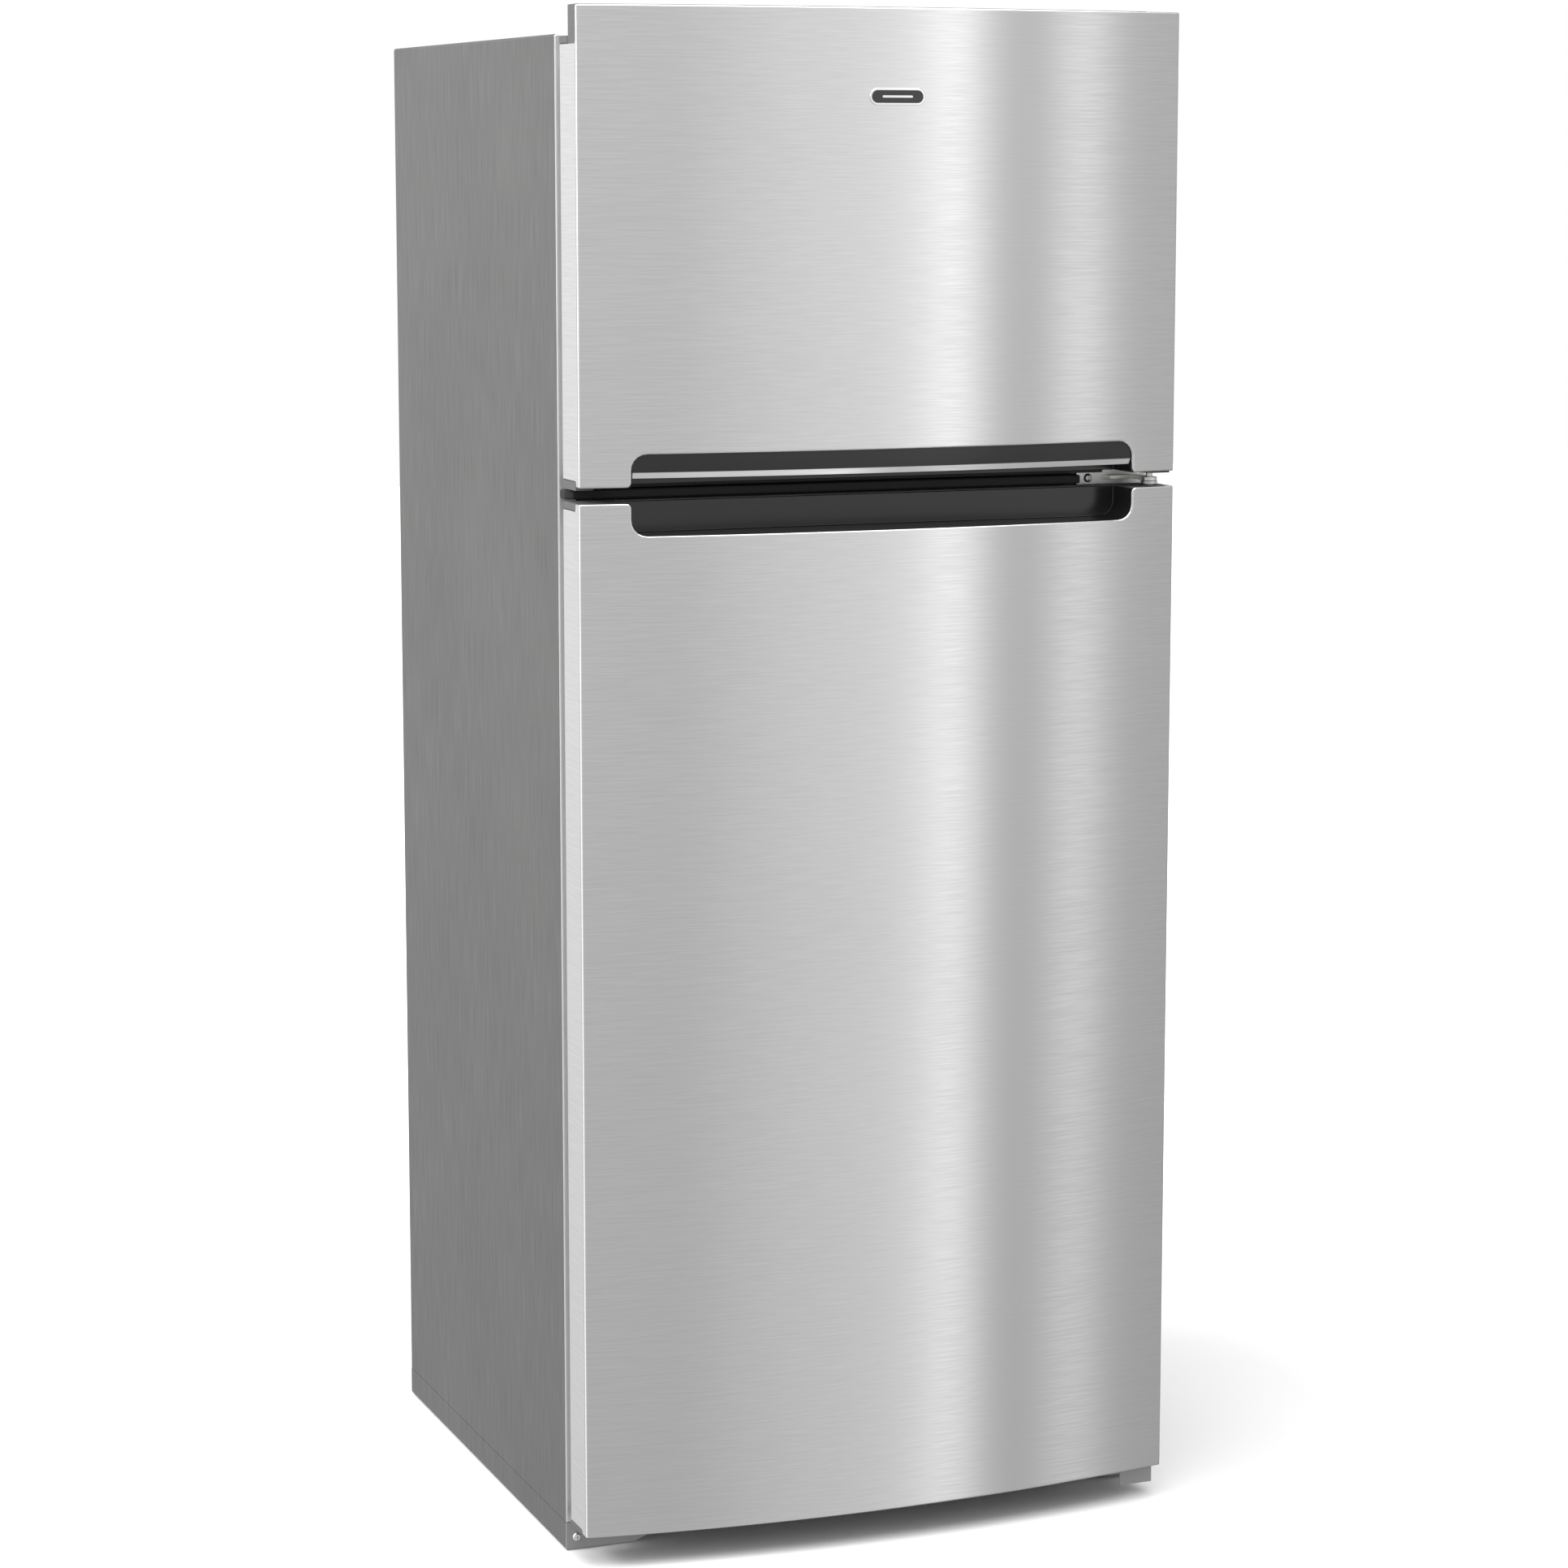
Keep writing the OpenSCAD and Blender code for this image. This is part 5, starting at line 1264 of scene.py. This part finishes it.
class FRIDGE_OT_controls(PieceOperator, bpy.types.Operator):
    """Makes the control housing with its knobs, dial marks, lamp and switch"""
    bl_idname = "fridge.controls"
    bl_label = "Controls"

    def build(self):
        soften("control_box", "control_housing", "trim_white", 1.1, 3)
        soften("lamp_lens", "lamp_cover", "lamp_lens", 0.9, 3)
        soften("switch_button", "light_switch_plunger", "trim_white", 0.6,
               body="light_switch_plunger")
        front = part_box("control_housing")[0].y
        bar = Form().block((-0.4 * MM, -0.12 * MM, -2.2 * MM), (0.4 * MM, 0.3 * MM, 2.2 * MM),
                           0.1 * MM, 1)
        bar = link("mark_bar", bar.mesh("mark_bar"))
        for name in ("fridge_knob", "freezer_knob"):
            low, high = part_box(name)
            x, z = (low.x + high.x) / 2, (low.z + high.z) / 2
            steps = 96

            def ring(radius, y, ribs=0.0):
                """A circle in millimetres whose edge may carry ribs."""
                reach = lambda a: (radius + ribs * math.cos(24 * a)) * MM
                return [(x + reach(a) * math.cos(a), front + y * MM, z + reach(a) * math.sin(a))
                        for a in circle(steps)]

            form = Form().rows([
                ring(19.2, -1), ring(20, -1.6), ring(20, -5.4), ring(19.4, -6),
                ring(16.4, -6.4, 0.3), ring(16.0, -15, 0.35), ring(15.2, -15.9, 0.2),
                ring(12, -16.2)])
            form.block((x - 1.6 * MM, front - 19 * MM, z - 12.5 * MM),
                       (x + 1.6 * MM, front - 15 * MM, z + 15.5 * MM), 1.2 * MM, 3)
            form.turned([(2.9 * MM, front - 2 * MM), (2.9 * MM, front + 10 * MM)], (x, 0, z),
                        "y", 24)
            publish(name + "_dial", form.mesh(name), name, "cap_grey", name)
            reach, sweep = 24.2 * MM, math.radians(120)
            seats = [((x + reach * math.sin(a), front, z + reach * math.cos(a)),
                      (math.sin(a), 0, math.cos(a))) for a in ease(8, -sweep, sweep)]
            marks = grow(name + "_marks", "Heads on seats",
                         {"Head": bar, "Scale": 1.0, "Material": finish_of("print_grey")},
                         seats_mesh("mark_seats", seats))
            publish(name + "_marks", marks, CABINET, "print_grey", even=False)
        bpy.data.objects.remove(bar)


class FRIDGE_OT_feet(PieceOperator, bpy.types.Operator):
    """Makes the levelling legs and the rear rollers"""
    bl_idname = "fridge.feet"
    bl_label = "Feet"

    def build(self):
        foot = [(12.5, 0), (14.4, 0.5), (15, 1.6), (15, 5.6), (14.2, 7.2), (12, 8), (5, 8)]
        for k in range(14):
            z = 8.6 + k * 1.55
            foot += [(5.0, z), (4.4, z + 0.78)]
        foot += [(5.0, 30.6), (4.2, 31.4)]
        for side in ("left", "right"):
            node = "levelling_leg_" + side
            low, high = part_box(node)
            centre = ((low.x + high.x) / 2, (low.y + high.y) / 2, low.z)
            profile = [(r * MM, min(z * MM, high.z)) for r, z in foot]
            publish(node + "_turned", Form().turned(profile, centre, "z").mesh(node), node,
                    "black_rubber", node)
        form = Form()
        for low, high in islands("rear_rollers"):
            mid, half = (low + high) / 2, (high.x - low.x) / 2
            radius = (high.z - low.z) / 2
            profile = [(4.2 * MM, -half), (radius * 0.86, -half), (radius, -half * 0.72),
                       (radius, half * 0.72), (radius * 0.86, half), (4.2 * MM, half)]
            rows = [[(mid.x + h, mid.y + r * math.cos(a), mid.z + r * math.sin(a))
                     for a in circle(48)] for r, h in profile]
            form.rows(rows, along=True)
        publish("rollers", form, "rear_rollers", "black_rubber", "rear_rollers")


class FRIDGE_OT_machine(PieceOperator, bpy.types.Operator):
    """Makes the compressor, fans, coils, lines and the vented cover"""
    bl_idname = "fridge.machine"
    bl_label = "Machine space"

    def build(self):
        low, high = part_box("compressor")
        x, y = low.x + 90 * MM, (low.y + high.y) / 2
        foot_z = low.z
        shell = [(48, 14), (62, 15), (70, 20), (74.5, 30), (75, 80), (76, 81), (76, 86), (75, 87),
                 (75, 110), (71, 128), (62, 139), (46, 143.5), (20, 144)]
        grommet = [(8, 0), (9, 1), (7.5, 4), (9, 7), (8, 12), (8, 17), (4, 17.5), (4, 20)]
        form = Form().turned([(r * MM, z * MM) for r, z in shell], (x, y, foot_z), "z", 56)
        form.block((x - 90 * MM, y - 62 * MM, foot_z + 12 * MM),
                   (x + 90 * MM, y + 62 * MM, foot_z + 17 * MM), 2 * MM)
        form.block((x + 68 * MM, y - 30 * MM, foot_z + 60 * MM),
                   (high.x, y + 30 * MM, foot_z + 114 * MM), 5 * MM, 4)
        for sx in (-76, 76):
            for sy in (-48, 48):
                form.turned([(r * MM, z * MM) for r, z in grommet],
                            (x + sx * MM, y + sy * MM, foot_z), "z", 24)
        publish("compressor_pot", form, CABINET, "black_metal", "compressor")
        soften("fan_shroud", "condenser_fan_motor", "black_metal", 0.5)
        soften("condenser_blades", "condenser_fan", "black_grain", 0.5, body="condenser_fan")
        soften("evaporator_blades", "evaporator_fan", "trim_white", 0.5, body="evaporator_fan")
        soften("evaporator_motor", "evaporator_fan_motor", "black_metal", 0.6)
        soften("rear_cover", "machine_cover", "zinc_sheet", 0.3)
        soften("gland", "cord_gland", "black_rubber", 0.7)
        dress("condenser_coil", "black_metal")
        dress("evaporator_coil", "fin_aluminium")
        soften("copper_lines", "refrigerant_lines", "copper", 0.0)


class FRIDGE_OT_stage(PieceOperator, bpy.types.Operator):
    """Sets the floor, the soft light and the camera"""
    bl_idname = "fridge.stage"
    bl_label = "Stage"

    def build(self):
        stage = bpy.context.scene.refrigerator.stage
        half = 14.0
        mesh = bpy.data.meshes.new("floor")
        mesh.from_pydata([(-half, -half, 0), (half, -half, 0), (half, half, 0), (-half, half, 0)],
                         [], [(0, 1, 2, 3)])
        floor = link("floor", mesh)
        look = bpy.data.materials.new("pale_floor")
        look.use_nodes = True
        mesh.materials.append(look)
        nodes = look.node_tree.nodes
        # Mirrored rays pass the floor and meet the studio walls; scattered light finds it grey.
        # It glows toward the distance, so that it meets the white surround without a line.
        graph(look.node_tree, {
            "shader": nodes["Principled BSDF"], "out": nodes["Material Output"],
            "path": "LightPath", "pick": "MixShader", "bounce": "MixShader",
            "clear": "BsdfTransparent", "dull": "BsdfDiffuse", "spot": "NewGeometry",
            "far": "VectorMath operation=LENGTH", "glow": "MapRange"}, {
            "shader.Base Color": (*stage.floor, 1), "shader.Roughness": 0.9,
            "shader.Specular IOR Level": 0.1, "shader.Emission Color": (1, 1, 1, 1),
            "dull.Color": (0.3, 0.3, 0.3, 1), "glow.From Min": 0.7, "glow.From Max": 2.6,
            "glow.To Max": 0.5}, """
            spot.Position > far.0
            far.Value > glow.Value
            glow.Result > shader.Emission Strength
            path.Is Glossy Ray > bounce.Fac
            dull.BSDF > bounce.1
            clear.BSDF > bounce.2
            path.Is Camera Ray > pick.Fac
            bounce.Shader > pick.1
            shader.BSDF > pick.2
            pick.Shader > out.Surface""")
        self.light()
        self.lamp("side_softbox", (-3.2, -0.4, 2.7), (-0.35, 0, 1.55), (1.2, 1.2), 45)
        self.lamp("top_softbox", (0, -1.2, 4.2), (0, 0, 0.4), (4.5, 4.0), 150)
        camera = bpy.data.objects.new("camera", bpy.data.cameras.new("camera"))
        bpy.context.scene.collection.objects.link(camera)
        camera.location = stage.camera_at
        camera.rotation_euler = (math.pi / 2 + stage.pitch, 0, -stage.yaw)
        camera.data.lens, camera.data.sensor_width = stage.lens, 36
        camera.data.shift_y = stage.shift_y
        camera.data.clip_end = 100
        bpy.context.scene.camera = camera
        bpy.context.scene.view_settings.view_transform = "Standard"

    def lamp(self, name, at, target, size, power):
        data = bpy.data.lights.new(name, "AREA")
        data.shape, data.size, data.size_y, data.energy = "RECTANGLE", size[0], size[1], power
        lamp = bpy.data.objects.new(name, data)
        bpy.context.scene.collection.objects.link(lamp)
        lamp.location = at
        lamp.rotation_euler = (Vector(target) - Vector(at)).to_track_quat("-Z", "Y").to_euler()

    def light(self):
        """A white studio whose walls are brighter in some directions than in others."""
        world = bpy.data.worlds.new("studio")
        bpy.context.scene.world = world
        world.use_nodes = True
        tree = world.node_tree
        tree.nodes.clear()
        # Direction in degrees from straight ahead of the doors, plus to the right; brightness
        walls = [(-180, 0.5), (-168, 0.9), (-160, 1.35), (-152, 1.1), (-142, 0.65), (-128, 0.9),
                 (-115, 2.1), (-84, 2.1), (-70, 1.0), (-28, 0.85), (1, 0.85), (6, 0.82),
                 (10, 0.95), (15, 1.05), (21, 1.12), (25, 1.25), (27, 1.9), (28.5, 1.8),
                 (31, 0.72), (35, 0.66), (37.5, 1.35), (39.5, 1.35), (41.5, 0.7), (60, 0.7),
                 (100, 0.6), (140, 0.6), (180, 0.55)]
        top = 2.5
        nodes = graph(tree, {
            "out": "OutputWorld", "mix": "MixShader", "seen": "Background", "room": "Background",
            "path": "LightPath", "where": "TexCoord", "part": "SeparateXYZ",
            "flip": "Math operation=MULTIPLY", "turn": "Math operation=ARCTAN2",
            "share": "MapRange", "ramp": "ValToRGB", "low": "MapRange",
            "dim": "Mix data_type=RGBA blend_type=MULTIPLY"}, {
            "flip.1": -1.0, "share.From Min": -math.pi, "share.From Max": math.pi,
            "low.From Min": -0.34, "low.From Max": 0.06, "low.To Min": 0.7, "dim.Factor": 1.0,
            "seen.Color": (1, 1, 1, 1), "seen.Strength": 1.0, "room.Strength": top}, """
            where.Generated > part.Vector
            part.Y > flip.0
            part.X > turn.0
            flip.Value > turn.1
            turn.Value > share.Value
            share.Result > ramp.Fac
            part.Z > low.Value
            ramp.Color > dim.6
            low.Result > dim.7
            dim.2 > room.Color
            path.Is Camera Ray > mix.Fac
            room.Background > mix.1
            seen.Background > mix.2
            mix.Shader > out.Surface""")
        stops = nodes["ramp"].color_ramp.elements
        stops.remove(stops[1])
        for i, (angle, value) in enumerate(walls):
            at = (angle + 180) / 360
            stop = stops[0] if i == 0 else stops.new(at)
            stop.position, stop.color = at, (value / top, value / top, value / top, 1)


PIECES = (FRIDGE_OT_finishes, FRIDGE_OT_cabinet, FRIDGE_OT_skins, FRIDGE_OT_caps,
          FRIDGE_OT_handles, FRIDGE_OT_badge, FRIDGE_OT_mullion, FRIDGE_OT_hinges,
          FRIDGE_OT_screws, FRIDGE_OT_liners, FRIDGE_OT_panels, FRIDGE_OT_gaskets,
          FRIDGE_OT_bins, FRIDGE_OT_shelves, FRIDGE_OT_drawers, FRIDGE_OT_controls,
          FRIDGE_OT_feet, FRIDGE_OT_machine, FRIDGE_OT_stage)


class FRIDGE_PT_panel(bpy.types.Panel):
    """Lists the refrigerator's pieces and sizes"""
    bl_idname = "FRIDGE_PT_panel"
    bl_label = "Refrigerator"
    bl_space_type = "VIEW_3D"
    bl_region_type = "UI"
    bl_category = "Refrigerator"

    def draw(self, context):
        settings = context.scene.refrigerator
        for title in ("doors", "inside", "stage"):
            box = self.layout.box()
            box.label(text=title.capitalize())
            group = getattr(settings, title)
            for name in group.__annotations__:
                box.prop(group, name)
        for piece in PIECES:
            self.layout.operator(piece.bl_idname)


CLASSES = (DoorSettings, InsideSettings, StageSettings, RefrigeratorSettings,
           *PIECES, FRIDGE_PT_panel)


def register():
    for cls in CLASSES:
        bpy.utils.register_class(cls)
    bpy.types.Scene.refrigerator = PointerProperty(type=RefrigeratorSettings)


def unregister():
    del bpy.types.Scene.refrigerator
    for cls in reversed(CLASSES):
        bpy.utils.unregister_class(cls)


def main():
    register()
    for piece in PIECES:
        group, name = piece.bl_idname.split(".")
        getattr(getattr(bpy.ops, group), name)()


if __name__ == "__main__":
    main()
